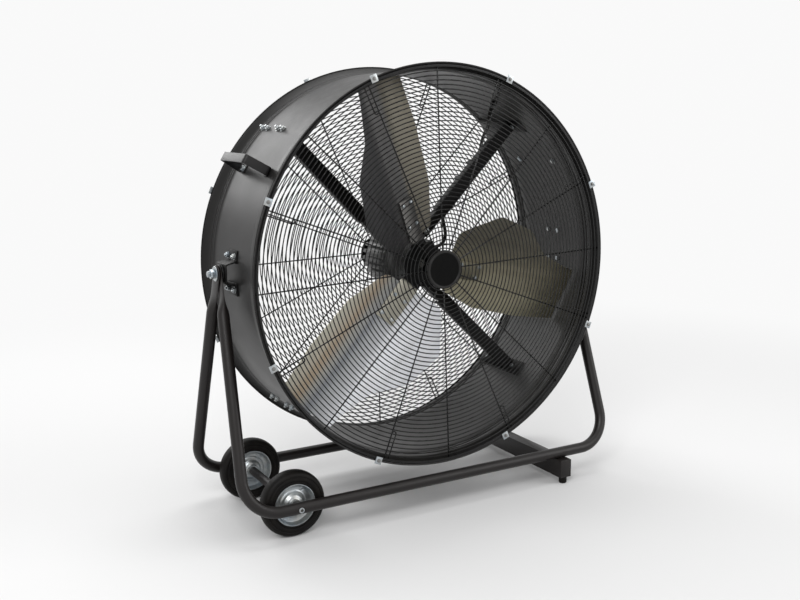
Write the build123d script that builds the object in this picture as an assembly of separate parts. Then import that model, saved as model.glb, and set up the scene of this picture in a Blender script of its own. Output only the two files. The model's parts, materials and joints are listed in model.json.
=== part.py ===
from build123d import *
import math
import os

# A tilting drum fan on a wheeled tube stand. Millimetres.
# X runs along the tilt axis, Y along the air path with the front at -Y, and Z is up.
# The origin is on the floor, under the middle of the drum.

# ---- clearances
seat_gap = 0.3          # between pieces that rest on each other
screw_gap = 0.05        # radial, a bolt in its own hole
running_gap = 0.06      # radial, a shaft that turns in its bore

# ---- flats: these round shapes are drawn with many sides, so that meshes stay light
drum_sides = 120
wheel_sides = 32
small_sides = 24
ring_sides = 16
tube_sides = 10
cable_sides = 6

# ---- drum
rim_radius = 550.0
wall_radius = 530.0     # outside of the plain wall
wall_thickness = 2.0
drum_depth = 400.0
flare_depth = 27.0      # how much of each end flares out to the rim
axis_height = 683.0     # the air path's axis above the floor
pivot_rise = 11.0       # the tilt axis lies this much above the air path's axis
pivot_height = axis_height + pivot_rise

# ---- grilles
wire = 4.0
grille_radius = 540.0
ring_pitch = 11.7       # between neighbouring wire rings
front_ring_step = 7     # only every seventh ring is a solid here, so that facets stay few
rear_ring_step = 11
spoke_count = 16
front_spoke_turn = 2.0
rear_spoke_turn = 1.0
inner_ring_radius = 58.0
coarse_ring_radius = 500.0
hub_plate_radius = 50.0
hub_plate_thickness = 3.0
cap_radius = 53.0
cap_thickness = 9.0
cap_edge = 7.0
cap_dish = 2.5
clip_count = 8
clip_side = 20.0
clip_thickness = 2.0
clip_radius = 546.0
clip_turn = 22.5
clip_screw_flats = 8.0
clip_screw_height = 4.0

# ---- stand
tube_radius = 16.0
bar_half_length = 593.0     # from the middle to a leg's foot
bar_offset = 197.0          # each bottom bar from the middle, along Y
bar_height = 90.0
corner_radius = 95.0
tab_width = 45.0
tab_thickness = 6.0
front_tab_offset = 567.0    # middle of the front frame's flattened ends
tab_length = 74.0           # flat stretch below the tilt axis
tab_blend = 36.0            # where the tube flattens
channel_inset = 180.0       # the cross foot's middle from the legs' feet
channel_centre = bar_half_length - channel_inset
channel_width = 38.0
channel_half_length = 228.0
channel_wall = 3.0
channel_bottom = 20.0
foot_radius = 12.0
foot_inset = 15.0
foot_taper = 2.0
foot_pad_length = 28.0

# ---- wheels
wheel_radius = 90.0
wheel_inset = 149.0         # axle from the legs' feet, along X
wheel_offset = bar_half_length - wheel_inset
wheel_centre = 152.0        # middle of a tyre, along Y
tyre_width = 46.0
tread_width = 30.0
shoulder_radius = 76.0
rim_outer_radius = 57.0
rim_lip = 5.0
rim_dish_radius = 30.0
rim_dish_depth = 15.0
hub_width = 52.0
hub_radius = 16.0
axle_radius = 6.0
spacer_radius = 12.0
axle_overhang = 1.0
axle_cap_radius = 7.5
axle_cap_length = 3.5
axle_cap_taper = 1.0

# ---- tilt joint
pivot_bolt_radius = 8.0
pivot_flats = 23.0
pivot_nut_height = 13.0
pivot_head_height = 9.0
pivot_bolt_end = 7.0
friction_disc_radius = 24.0
friction_disc_thickness = 4.0
pivot_washer_radius = 20.0
pivot_washer_thickness = 3.0
bracket_depth = 70.0
bracket_thickness = 3.0
bracket_half_height = 60.0
bracket_crown_half = 26.0
bracket_crown_flare = 10.0
bracket_bury = 8.0          # the crown's outline starts inside the wall, then is cut to it
bracket_bolt_rise = 44.0
bracket_bolt_pitch = 45.0

# ---- handles
handle_angle = 31.0         # above the horizontal
handle_width = 25.0
strap_thickness = 3.0
handle_rise = 73.0          # from the wall to the grip's outer face
handle_bar_half = 80.0
handle_foot_inner = 70.0
handle_foot_outer = 99.0
handle_bolt_half = 82.0
strap_bend = 8.0

# ---- struts
strut_angles = {"upper_right": 45.5, "upper_left": 134.5, "lower_left": 226.0, "lower_right": 316.0}
strut_front = 20.0          # front face of the web, along Y
strut_width = 38.0
strut_neck_width = 28.0
strut_neck_end = 180.0
strut_depth = 25.0
strut_plate = 2.5
strut_inner = 96.0
strut_foot_width = 48.0
strut_foot_front = -42.0
strut_foot_length = 208.0
strut_foot_plate = 3.0
strut_gusset = 70.0
strut_bolt_middle = 74.0
strut_bolt_pair = 34.0
strut_pair_pitch = 104.0
wall_bolt_flats = 13.0
wall_nut_height = 7.0
wall_head_height = 5.5

# ---- motor
motor_radius = 70.0
fin_radius = 81.0
fin_share = 0.42            # share of a fin's pitch that is metal at its tip
fin_flare = 1.5             # degrees wider on each side at its root
motor_length = 100.0
motor_wall = 6.0
bell_length = 26.0
bell_base_radius = 64.0
bell_shoulder_radius = 60.0
bell_nose_radius = 36.0
bell_shoulder_share = 0.4    # share of its length before the dome turns in
bell_lip = 4.0
lug_reach = 125.0
lug_clearance = 0.4
lug_back = 58.0
motor_bolt_radius = 109.0
shaft_radius = 12.5
core_radius = 45.0
core_length = 60.0
air_gap = 1.0
winding_length = 14.0
winding_step = 5.0          # windings are this much slimmer than the packet
bearing_radius = 23.5
bearing_width = 14.0
bearing_seat = 3.0
terminal_box_length = 46.0
terminal_box_height = 42.0
terminal_box_reach = 106.0
terminal_box_front = 38.0
terminal_box_level = 22.0   # its middle above the drum's axis
terminal_lid = 3.0
terminal_lid_overhang = 2.0

# ---- hub and blades
blade_plane = -90.0         # front face of a blade, on its own centre line
blade_thickness = 2.5
blade_count = 3
first_blade_angle = 108.0
blade_tip_radius = 520.0
blade_root_radius = 80.0
lead_pitch = 14.0           # degrees from the plane of the disc
middle_pitch = 21.0
trail_pitch = 26.0
crease_root = 27.0          # each crease from the blade's centre line
lead_crease_tip = 45.0
trail_crease_tip = 40.0
blade_corner = 26.0
arm_width = 52.0
arm_thickness = 5.0
arm_end = 194.0
arm_twist_start = 50.0
arm_twist_end = 77.0
blade_bolt_radii = (118.0, 180.0)
blade_bolt_side = 16.0
blade_bolt_flats = 13.0
blade_bolt_height = 6.0
hub_disc_radius = 63.0
hub_boss_radius = 28.0
hub_boss_length = 46.0
hub_recess_radius = 20.0
hub_recess_depth = 22.0
hub_bolt_flats = 19.0
hub_bolt_height = 9.0

# ---- wiring
cable_radius = 5.0
wall_gland_angle = 57.5
wall_gland_depth = -20.0
gland_radius = 9.0
gland_length = 12.0
gland_bore = 4.5
cable_clip_places = (300.0, 366.0)
lead_drop = (24.0, 42.0)    # how far in from its gland the lead turns
lead_turn = 5.0             # degrees toward the strut
lead_back = 34.0
lead_join = (446.0, 30.0)   # where it comes to the strut, along and across it
lead_strut_span = (400.0, 262.0)    # it lies straight behind the strut here
lead_leave = (203.0, -3.0)
lead_loop = ((160.0, 92.0), (169.0, 50.0))  # beside the motor, along X and Z
lead_bulge = (3.0, 4.0, 9.0)    # how far it stands off behind the strut's line
lead_bow = 1.0
lead_end_run = 29.0         # straight, out of the terminal box's gland
clip_band = 12.0
clip_wall = 1.5
switch_box_length = 92.0
switch_box_width = 70.0
switch_box_height = 44.0
switch_box_wall = 3.0
switch_lid = 3.0
knob_radius = 15.0
knob_length = 18.0
knob_base = 6.0
knob_grip = 7.0
knob_across = 16.0
knob_stem_radius = 5.0
mains_gland_across = 20.0
mains_gland_level = 31.0    # above the wall, so that a straight cord clears the rear rim
knob_taper = 2.0


def around(shape, degrees):
    """Turn a shape about the drum's axis, counter-clockwise seen from the front."""
    return Rot(0, -degrees, 0) * shape


def lift(shape):
    """Raise a shape built about the drum's axis to its height."""
    return Pos(0, 0, axis_height) * shape


def hexagon(flats, height):
    """A hexagonal head or nut that grows from the XY plane along +Z."""
    return extrude(RegularPolygon(flats / 2, 6, major_radius=False), height)


def facing(place, direction):
    """A plane at a place whose normal is the direction."""
    return Plane(origin=place, z_dir=direction)


def polar(radius, degrees, depth):
    """A point beside the drum's axis."""
    angle = math.radians(degrees)
    return Vector(radius * math.cos(angle), depth, radius * math.sin(angle))


def outward(degrees):
    return polar(1.0, degrees, 0.0)


def group(shapes):
    return Compound(children=[solid for shape in shapes for solid in shape.solids()])


def prism(low_radius, high_radius, length, sides):
    """A many-sided disc or cone that grows from the XY plane along +Z."""
    wide = max(low_radius, high_radius)
    inset = abs(low_radius - high_radius) * math.cos(math.pi / sides)
    taper = math.degrees(math.atan2(inset, length))
    cone = extrude(RegularPolygon(wide, sides), length, taper=taper)
    return cone if low_radius >= high_radius else Pos(0, 0, length) * mirror(cone, Plane.XY)


def faceted(low, high):
    """A solid between two outlines with as many corners; each side is two flat triangles."""
    faces = [make_face(Polyline(*corners, close=True)) for corners in (low, high)]
    for index, corner in enumerate(low):
        following = (index + 1) % len(low)
        far = high[following]
        faces.append(make_face(Polyline(corner, low[following], far, close=True)))
        faces.append(make_face(Polyline(corner, far, high[index], close=True)))
    return Solid(Shell(faces))


def bent(points, radii, section, x_dir=None):
    """A rod of straight runs joined by tangent arcs."""
    here = Plane(origin=points[0], x_dir=x_dir, z_dir=points[1] - points[0])
    pieces = []
    for index, corner in enumerate(points[1:]):
        length = (corner - here.origin).length
        if index == len(radii):
            pieces.append(extrude(here * section, length))
            break
        out = (points[index + 2] - corner).normalized()
        turn = here.z_dir.get_angle(out)
        setback = radii[index] * math.tan(math.radians(turn / 2))
        pieces.append(extrude(here * section, length - setback))
        axis_direction = here.z_dir.cross(out).normalized()
        start = corner - here.z_dir * setback
        centre = start + axis_direction.cross(here.z_dir) * radii[index]
        end = Plane(origin=start, x_dir=here.x_dir, z_dir=here.z_dir)
        pieces.append(revolve(end * section, Axis(centre, axis_direction), turn))
        x_dir = here.x_dir.rotate(Axis((0, 0, 0), axis_direction), turn)
        here = Plane(origin=corner + out * setback, x_dir=x_dir, z_dir=out)
    return pieces[0] + pieces[1:]


# ---------------------------------------------------------------- drum

def drum_outline(inset):
    """One side of the wall's outline, from rim to rim, as radius and depth."""
    half = drum_depth / 2
    knee = half - flare_depth
    points = [(rim_radius, half), (wall_radius, knee), (wall_radius, -knee), (rim_radius, -half)]
    return [(radius - inset, depth) for radius, depth in points]


def drum_shell():
    outline = drum_outline(0.0) + drum_outline(wall_thickness)[::-1]
    shell = revolve(make_face(Polyline(*outline, close=True)), Axis.Y)
    place = polar(wall_radius, wall_gland_angle, wall_gland_depth)
    hole = RegularPolygon(gland_radius + screw_gap, tube_sides, major_radius=False)
    hole = extrude(facing(place, outward(wall_gland_angle)) * hole, 3 * wall_thickness, both=True)
    return lift(shell - hole)


# ---------------------------------------------------------------- grilles

def ring_radii(step):
    pitch = step * ring_pitch
    count = int((grille_radius - inner_ring_radius) // pitch) + 1
    return [grille_radius - wire / 2 - index * pitch for index in range(count)]


def wire_ring(radius, turn):
    """A square wire ring, straight across each spoke, its front face on the XZ plane."""
    sides = spoke_count if radius < coarse_ring_radius else 2 * spoke_count
    shift = 180.0 / sides
    outer = RegularPolygon(radius + wire / 2, sides, rotation=shift)
    inner = RegularPolygon(radius - wire / 2, sides, rotation=shift)
    ring = extrude(outer - inner, wire)
    return around(Rot(90, 0, 0) * Pos(0, 0, -wire) * ring, turn)


def grille(step, turn):
    """Rings in front, spokes behind that touch them, and a plate where the spokes meet."""
    half_step = 180 / spoke_count
    plate = extrude(RegularPolygon(hub_plate_radius, spoke_count), hub_plate_thickness)
    wires = [around(Pos(0, wire, 0) * Rot(-90, 0, 0) * plate, turn + half_step)]
    seat = hub_plate_radius * math.cos(math.pi / spoke_count) + screw_gap
    spoke_length = grille_radius - seat
    for index in range(spoke_count):
        bar = Pos(seat + spoke_length / 2, 1.5 * wire, 0) * Box(spoke_length, wire, wire)
        wires.append(around(bar, turn + 2 * index * half_step))
    rings = [wire_ring(radius, turn) for radius in ring_radii(step)]
    return group(wires + rings)


def front_grille():
    return lift(Pos(0, -drum_depth / 2, 0) * grille(front_ring_step, front_spoke_turn))


def rear_grille():
    turned = Rot(0, 0, 180) * grille(rear_ring_step, -rear_spoke_turn)
    return lift(Pos(0, drum_depth / 2, 0) * turned)


def grille_cap():
    """The round cap in the front grille's middle, bare, with a raised edge."""
    cap = prism(cap_radius, cap_radius - cap_dish, cap_thickness, small_sides)
    dish = prism(cap_radius - cap_edge - cap_dish, cap_radius - cap_edge, cap_dish, small_sides)
    cap -= Pos(0, 0, cap_thickness - cap_dish) * dish
    seat = wire - drum_depth / 2
    return lift(Pos(0, seat, 0) * Rot(90, 0, 0) * cap)


def clip_plates(side):
    """Square plates that hold a grille against the rim; side is -1 at the front."""
    depth = side * (drum_depth + clip_thickness) / 2
    plate = Pos(clip_radius, depth, 0) * Box(clip_side, clip_thickness, clip_side)
    step = 360 / clip_count
    return lift(group([around(plate, clip_turn + index * step) for index in range(clip_count)]))


def clip_screws():
    heads = []
    for side in (-1, 1):
        depth = side * (drum_depth / 2 + clip_thickness)
        for index in range(clip_count):
            place = polar(clip_radius, clip_turn + index * 360 / clip_count, depth)
            head = hexagon(clip_screw_flats, clip_screw_height)
            heads.append(facing(place, (0, side, 0)) * head)
    return lift(group(heads))


# ---------------------------------------------------------------- stand

def leg_plane(side):
    """The leaning plane of one frame; its local Y climbs from the bar to the tilt axis."""
    climb = Vector(0, -side * bar_offset, pivot_height - bar_height).normalized()
    normal = Vector(1, 0, 0).cross(climb)
    return Plane(origin=(0, side * bar_offset, bar_height), x_dir=(1, 0, 0), z_dir=normal)


def leg_rise():
    return math.hypot(bar_offset, pivot_height - bar_height)


def flattening(plane, hand, end_x, tube_end, tab_offset, tab_start):
    """Where a leg's round tube is pressed flat, from many-sided to oblong."""
    lean = math.atan2(hand * (end_x - tab_offset), tab_start - tube_end)
    round_points = []
    flat_points = []
    corner_angle = 2 * math.pi / tube_sides
    for index in range(tube_sides):
        angle = 2 * math.pi * index / tube_sides
        across = tube_radius * math.sin(angle)
        outward_part = hand * end_x + across * math.cos(lean)
        upward_part = tube_end + across * math.sin(lean)
        round_points.append((outward_part, upward_part, tube_radius * math.cos(angle)))
        wide = max(-1, min(1, math.cos(angle) / math.cos(corner_angle)))
        thick = max(-1, min(1, math.sin(angle) / math.sin(corner_angle)))
        flat = (hand * tab_offset + thick * tab_thickness / 2, tab_start, wide * tab_width / 2)
        flat_points.append(flat)
    ends = []
    for points in (round_points, flat_points):
        ends.append([plane.from_local_coords(Vector(*point)) for point in points])
    return faceted(*ends)


def tube_frame(side, tab_offset):
    """A bent tube, drawn without its closed inside: a bar and two legs with flattened ends."""
    plane = leg_plane(side)
    tab_start = leg_rise() - tab_length
    tube_end = tab_start - tab_blend
    end_x = bar_half_length - (bar_half_length - tab_offset) * tube_end / leg_rise()
    corners = [
        (-end_x, tube_end),
        (-bar_half_length, 0),
        (bar_half_length, 0),
        (end_x, tube_end),
    ]
    points = [plane.from_local_coords(Vector(*corner, 0)) for corner in corners]
    section = RegularPolygon(tube_radius, tube_sides)
    frame = bent(points, [corner_radius] * 2, section, plane.z_dir)
    for hand in (-1, 1):
        frame += flattening(plane, hand, end_x, tube_end, tab_offset, tab_start)
        frame += tab(plane, hand * tab_offset, tab_start, leg_rise())
    return frame - axle_holes(side)


def tab(plane, offset, start, rise):
    """The flat end of a leg, round about the tilt bolt."""
    face = plane * Pos(offset, 0, 0) * Rot(0, 90, 0)
    length = rise - start
    strip = face * Pos(0, start + length / 2, 0) * Box(tab_width, length, tab_thickness)
    end = extrude(RegularPolygon(tab_width / 2, small_sides), tab_thickness / 2, both=True)
    end = face * Pos(0, rise, 0) * end
    hole = face * Pos(0, rise, 0) * Cylinder(pivot_bolt_radius + running_gap, 2 * tab_width)
    return strip + end - hole


def axle_holes(side):
    hole = RegularPolygon(axle_radius + screw_gap, tube_sides, major_radius=False)
    hole = extrude(Plane.XZ * hole, 2 * tube_radius, both=True)
    return Pos(-wheel_offset, side * bar_offset, bar_height) * hole


def rear_tab_offset():
    return front_tab_offset + tab_thickness


def cross_foot():
    """A channel, open below, across both bottom bars, with a pad at each end for a foot."""
    top = bar_height - tube_radius - seat_gap
    height = top - channel_bottom
    inner = channel_width - 2 * channel_wall
    length = 2 * channel_half_length
    middle = Pos(channel_centre, 0, channel_bottom + height / 2)
    channel = middle * Box(channel_width, length, height)
    channel -= middle * Pos(0, 0, -channel_wall) * Box(inner, length, height)
    for side in (-1, 1):
        depth = side * (channel_half_length - foot_pad_length / 2)
        level = channel_bottom + channel_wall / 2
        channel += Pos(channel_centre, depth, level) * Box(inner, foot_pad_length, channel_wall)
    return channel


def rubber_feet():
    feet = []
    for side in (-1, 1):
        depth = side * (channel_half_length - foot_inset)
        foot = prism(foot_radius, foot_radius - foot_taper, channel_bottom, ring_sides)
        feet.append(Pos(channel_centre, depth, 0) * foot)
    return group(feet)


def axle_length():
    return 2 * (bar_offset + tube_radius + axle_overhang)


def axle_rod():
    rod = Cylinder(axle_radius, axle_length(), rotation=(90, 0, 0))
    return Pos(-wheel_offset, 0, bar_height) * rod


def axle_caps():
    """Plain caps on both ends of the axle."""
    caps = []
    for side in (-1, 1):
        place = facing((-wheel_offset, side * axle_length() / 2, bar_height), (0, side, 0))
        small = axle_cap_radius - axle_cap_taper
        caps.append(place * prism(axle_cap_radius, small, axle_cap_length, ring_sides))
    return group(caps)


def axle_spacer():
    """The tube that keeps the wheels apart."""
    length = 2 * (wheel_centre - hub_width / 2 - seat_gap)
    tube = RegularPolygon(spacer_radius, ring_sides)
    tube -= RegularPolygon(axle_radius + seat_gap, ring_sides, major_radius=False)
    tube = extrude(tube, length / 2, both=True)
    return Pos(-wheel_offset, 0, bar_height) * Rot(90, 0, 0) * tube


# ---------------------------------------------------------------- wheels

def at_wheel(shape, side):
    """Lay a shape that grows along +Z on the axle, growing outward from a wheel's middle."""
    return facing((-wheel_offset, side * wheel_centre, bar_height), (0, side, 0)) * shape


def tyre(side):
    tread = extrude(RegularPolygon(wheel_radius, wheel_sides), tread_width / 2, both=True)
    wall = (tyre_width - tread_width) / 2
    shoulder = Pos(0, 0, tread_width / 2) * prism(wheel_radius, shoulder_radius, wall, wheel_sides)
    bore = RegularPolygon(rim_outer_radius + screw_gap, small_sides)
    body = tread + shoulder + mirror(shoulder, Plane.XY)
    return at_wheel(body - extrude(bore, tyre_width, both=True), side)


def wheel_rim(side):
    """A rim with a dish in each face, a lip round it, and a hub that stands out of both."""
    body = extrude(RegularPolygon(rim_outer_radius, small_sides), tyre_width / 2, both=True)
    floor = tyre_width / 2 - rim_dish_depth
    dish = prism(rim_dish_radius, rim_outer_radius - rim_lip, rim_dish_depth, small_sides)
    dish = Pos(0, 0, floor) * dish
    body -= dish + mirror(dish, Plane.XY)
    body += extrude(RegularPolygon(hub_radius, ring_sides), hub_width / 2, both=True)
    return at_wheel(body - extrude(Circle(axle_radius + running_gap), hub_width, both=True), side)


# ---------------------------------------------------------------- tilt joint

def crown_offset():
    """Outer face of the bracket's crown, from the middle."""
    return front_tab_offset - tab_thickness / 2 - friction_disc_thickness


def trunnion_bracket(hand):
    """A bent plate: two flanges that follow the wall and a raised crown for the bolt."""
    base_in = wall_radius + seat_gap
    base_out = base_in + bracket_thickness
    crown = crown_offset()
    low = pivot_rise - bracket_half_height
    high = pivot_rise + bracket_half_height
    shoulder = bracket_crown_half
    flange = Circle(base_out) - Circle(base_in)
    wide = 2 * (crown - wall_radius)
    flange &= Pos(wall_radius, pivot_rise, 0) * Rectangle(wide, high - low)
    window = Pos(wall_radius, pivot_rise, 0) * Rectangle(wide, 2 * shoulder)
    flange -= window
    outer = crown_points(crown, shoulder + bracket_crown_flare, shoulder)
    inner = shoulder - bracket_thickness
    flare = bracket_crown_flare - bracket_thickness / 3
    hollow = crown_points(crown - bracket_thickness, inner + flare, inner)
    hat = make_face(Polyline(*outer, close=True)) - make_face(Polyline(*hollow, close=True))
    hat -= Circle(base_in)
    section = flange + hat
    plate = extrude(Plane.XZ * section, bracket_depth / 2, both=True)
    axis = Pos(crown, 0, pivot_rise) * Rot(0, 90, 0)
    plate -= axis * Cylinder(pivot_bolt_radius + screw_gap, 4 * bracket_thickness)
    return lift(plate if hand > 0 else mirror(plate, Plane.YZ))


def crown_points(reach, base_half, top_half):
    """A trapezium that stands on the wall, level with the tilt axis."""
    base = wall_radius - bracket_bury
    corners = [(base, -base_half), (reach, -top_half), (reach, top_half), (base, base_half)]
    return [(x, pivot_rise + z) for x, z in corners]


def bracket_bolts():
    heads = []
    radius = wall_radius + seat_gap + bracket_thickness
    for hand in (-1, 1):
        for rise in (-bracket_bolt_rise, bracket_bolt_rise):
            level = pivot_rise + rise
            angle = math.degrees(math.asin(level / radius))
            turn = angle if hand > 0 else 180 - angle
            for side in (-1, 1):
                place = polar(radius + seat_gap, turn, side * bracket_bolt_pitch / 2)
                head = hexagon(wall_bolt_flats, wall_nut_height)
                heads.append(facing(place, outward(turn)) * head)
    return lift(group(heads))


def tilt_axis(offset, hand):
    """A place on the tilt axis, its local Z pointing away from the drum."""
    return facing((hand * offset, 0, pivot_height), (hand, 0, 0))


def washer(radius, hole, thickness):
    ring = RegularPolygon(radius, ring_sides)
    ring -= RegularPolygon(hole, tube_sides, major_radius=False)
    return extrude(ring, thickness)


def outer_tab_face():
    return rear_tab_offset() + tab_thickness / 2


def pivot_bolts():
    bolts = []
    head_at = crown_offset() - bracket_thickness - pivot_head_height
    nut_end = outer_tab_face() + pivot_washer_thickness + pivot_nut_height
    length = nut_end + pivot_bolt_end - head_at
    for hand in (-1, 1):
        bolt = hexagon(pivot_flats, pivot_head_height)
        bolt += extrude(Circle(pivot_bolt_radius), length)
        bolts.append(tilt_axis(head_at, hand) * bolt)
    return group(bolts)


def friction_discs():
    hole = pivot_bolt_radius + screw_gap
    disc = washer(friction_disc_radius, hole, friction_disc_thickness)
    return group([tilt_axis(crown_offset(), hand) * disc for hand in (-1, 1)])


def pivot_washers():
    hole = pivot_bolt_radius + screw_gap
    disc = washer(pivot_washer_radius, hole, pivot_washer_thickness)
    return group([tilt_axis(outer_tab_face(), hand) * disc for hand in (-1, 1)])


def pivot_nuts():
    nut = hexagon(pivot_flats, pivot_nut_height)
    hole = RegularPolygon(pivot_bolt_radius + screw_gap, tube_sides, major_radius=False)
    nut -= extrude(hole, pivot_nut_height)
    seat = outer_tab_face() + pivot_washer_thickness
    return group([tilt_axis(seat, hand) * nut for hand in (-1, 1)])


# ---------------------------------------------------------------- handles

def handle(hand):
    """A flat strap bent into a bow, its feet turned inward under it."""
    base = wall_radius + seat_gap + strap_thickness / 2
    reach = wall_radius + handle_rise - strap_thickness / 2
    middle = [
        (-handle_foot_inner, base),
        (-handle_foot_outer, base),
        (-handle_bar_half, reach),
        (handle_bar_half, reach),
        (handle_foot_outer, base),
        (handle_foot_inner, base),
    ]
    line = FilletPolyline(*middle, radius=strap_bend)
    strip = trace(line, strap_thickness)
    strap = extrude(strip, handle_width / 2, both=True)
    upright = Plane(origin=(0, 0, 0), x_dir=(0, 1, 0), z_dir=(0, 0, -1)) * strap
    turn = handle_angle if hand > 0 else 180 - handle_angle
    return lift(around(upright, turn))


def handle_bolts():
    heads = []
    seat = wall_radius + seat_gap + strap_thickness
    for turn in (handle_angle, 180 - handle_angle):
        for side in (-1, 1):
            place = polar(seat, turn, side * handle_bolt_half)
            head = hexagon(wall_bolt_flats, wall_nut_height)
            heads.append(facing(place, outward(turn)) * head)
    return lift(group(heads))


# ---------------------------------------------------------------- struts

def strut_foot_seat():
    """Where the flat foot's outer face just clears the round wall inside."""
    inside = wall_radius - wall_thickness
    return math.sqrt(inside**2 - (strut_foot_width / 2) ** 2) - seat_gap


def channel_run(start, end, width):
    """A stretch of folded channel along +X, its web at the front, open to the rear."""
    length = end - start
    middle = Pos(start + length / 2, strut_front + strut_depth / 2, 0)
    outer = middle * Box(length, strut_depth, width)
    inner = Box(length, strut_depth, width - 2 * strut_plate)
    return outer - middle * Pos(0, strut_plate, 0) * inner


def strut(degrees):
    """One arm: a channel from the motor's lug to the wall, a foot plate and two gussets."""
    seat = strut_foot_seat()
    face = seat - strut_foot_plate
    arm = channel_run(strut_inner, strut_neck_end, strut_neck_width)
    arm += channel_run(strut_neck_end - strut_plate, face, strut_width)
    foot_middle = strut_foot_front + strut_foot_length / 2
    foot = Box(strut_foot_plate, strut_foot_length, strut_foot_width)
    arm += Pos(face + strut_foot_plate / 2, foot_middle, 0) * foot
    back = strut_front + strut_depth
    rear = strut_foot_front + strut_foot_length
    corners = [(face - strut_gusset, back), (face, back), (face, rear - strut_plate)]
    gusset = extrude(make_face(Polyline(*corners, close=True)), strut_plate)
    edge = strut_width / 2
    arm += Pos(0, 0, edge - strut_plate) * gusset
    arm += Pos(0, 0, -edge) * gusset
    return lift(around(arm, degrees))


def strut_bolt_depths():
    middle = strut_bolt_middle
    pair = strut_bolt_pair / 2
    apart = strut_pair_pitch / 2
    return [middle - apart - pair, middle - apart + pair, middle + apart - pair, middle + apart + pair]


def strut_nuts():
    """Nuts outside the wall."""
    nuts = []
    for degrees in strut_angles.values():
        for depth in strut_bolt_depths():
            place = polar(wall_radius + seat_gap, degrees, depth)
            nut = hexagon(wall_bolt_flats, wall_nut_height)
            nuts.append(facing(place, outward(degrees)) * nut)
    return lift(group(nuts))


def strut_bolts():
    """Bolt heads inside, on the foot plates."""
    heads = []
    face = strut_foot_seat() - strut_foot_plate
    for degrees in strut_angles.values():
        for depth in strut_bolt_depths():
            place = polar(face, degrees, depth)
            head = hexagon(wall_bolt_flats, wall_head_height)
            heads.append(facing(place, outward(degrees) * -1) * head)
    return lift(group(heads))


# ---------------------------------------------------------------- motor

def along_axis(shape, depth):
    """Lay a shape that grows along +Z on the drum's axis, growing toward +Y from a depth."""
    return lift(Pos(0, depth, 0) * Rot(-90, 0, 0) * shape)


def motor_front():
    """The barrel's front face lies behind the struts' webs."""
    return strut_front + strut_plate


def round_prism(radius, length, sides=small_sides):
    return extrude(RegularPolygon(radius, sides), length)


def fin_outline():
    """The barrel's cross-section: a fin on each of its sides."""
    pitch = 360 / small_sides
    tip = fin_share * pitch / 2
    root = tip + fin_flare
    corners = ((motor_radius, -root), (fin_radius, -tip), (fin_radius, tip), (motor_radius, root))
    points = []
    for index in range(small_sides):
        for radius, offset in corners:
            angle = math.radians(index * pitch + offset)
            points.append((radius * math.cos(angle), radius * math.sin(angle)))
    return make_face(Polyline(*points, close=True))


def stator_radius():
    return motor_radius - motor_wall


def motor_housing():
    """The finned barrel, with four lugs that reach into the struts."""
    barrel = extrude(fin_outline(), motor_length)
    bore = round_prism(stator_radius(), motor_length, ring_sides)
    housing = along_axis(barrel, motor_front())
    lug_width = strut_neck_width - 2 * strut_plate - 2 * lug_clearance
    lug_length = lug_reach - stator_radius()
    block = Box(lug_length, lug_back - motor_front(), lug_width)
    block = Pos(lug_reach - lug_length / 2, (motor_front() + lug_back) / 2, 0) * block
    for degrees in strut_angles.values():
        housing += lift(around(block, degrees))
    return housing - along_axis(bore, motor_front())


def motor_bolts():
    heads = []
    for degrees in strut_angles.values():
        place = polar(motor_bolt_radius, degrees, strut_front)
        head = hexagon(wall_bolt_flats, wall_head_height)
        heads.append(facing(place, (0, -1, 0)) * head)
    return lift(group(heads))


def end_bell():
    """A domed end cover with a bearing seat; it grows outward along +Z."""
    shoulder = bell_length * bell_shoulder_share
    nose = bell_length - bell_lip - shoulder
    bell = round_prism(motor_radius, bell_lip)
    bell += Pos(0, 0, bell_lip) * prism(
        bell_base_radius, bell_shoulder_radius, shoulder, small_sides
    )
    bell += Pos(0, 0, bell_lip + shoulder) * prism(
        bell_shoulder_radius, bell_nose_radius, nose, small_sides
    )
    bell -= round_prism(bearing_radius + screw_gap, bell_length - bearing_seat, ring_sides)
    return bell - round_prism(shaft_radius + air_gap, bell_length, ring_sides)


def front_bell():
    return lift(Pos(0, motor_front(), 0) * Rot(90, 0, 0) * end_bell())


def rear_bell():
    return along_axis(end_bell(), motor_front() + motor_length)


def bearing_depths():
    """Front face of each bearing, along Y."""
    front = motor_front() - bell_length + bearing_seat + seat_gap
    rear = motor_front() + motor_length + bell_length - bearing_seat - seat_gap - bearing_width
    return front, rear


def bearings():
    bore = RegularPolygon(shaft_radius + running_gap, ring_sides, major_radius=False)
    ring = RegularPolygon(bearing_radius, ring_sides) - bore
    rings = [along_axis(extrude(ring, bearing_width), depth) for depth in bearing_depths()]
    return group(rings)


def core_front():
    return motor_front() + (motor_length - core_length) / 2


def shaft():
    rear = bearing_depths()[1] + bearing_width
    return along_axis(extrude(Circle(shaft_radius), rear - recess_floor()), recess_floor())


def rotor_core():
    bore = RegularPolygon(shaft_radius + screw_gap, ring_sides, major_radius=False)
    core = RegularPolygon(core_radius, ring_sides) - bore
    return along_axis(extrude(core, core_length), core_front())


def stator():
    """Laminations with a ring of windings at each end."""
    outer = stator_radius() - seat_gap
    inner = core_radius + air_gap
    winding = winding_length
    whole = core_length + 2 * winding
    packet = round_prism(outer, core_length, ring_sides)
    coils = Pos(0, 0, -winding) * round_prism(outer - winding_step, whole, ring_sides)
    bore = Pos(0, 0, -winding) * round_prism(inner, whole, ring_sides)
    return along_axis(packet + coils - bore, core_front())


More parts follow.
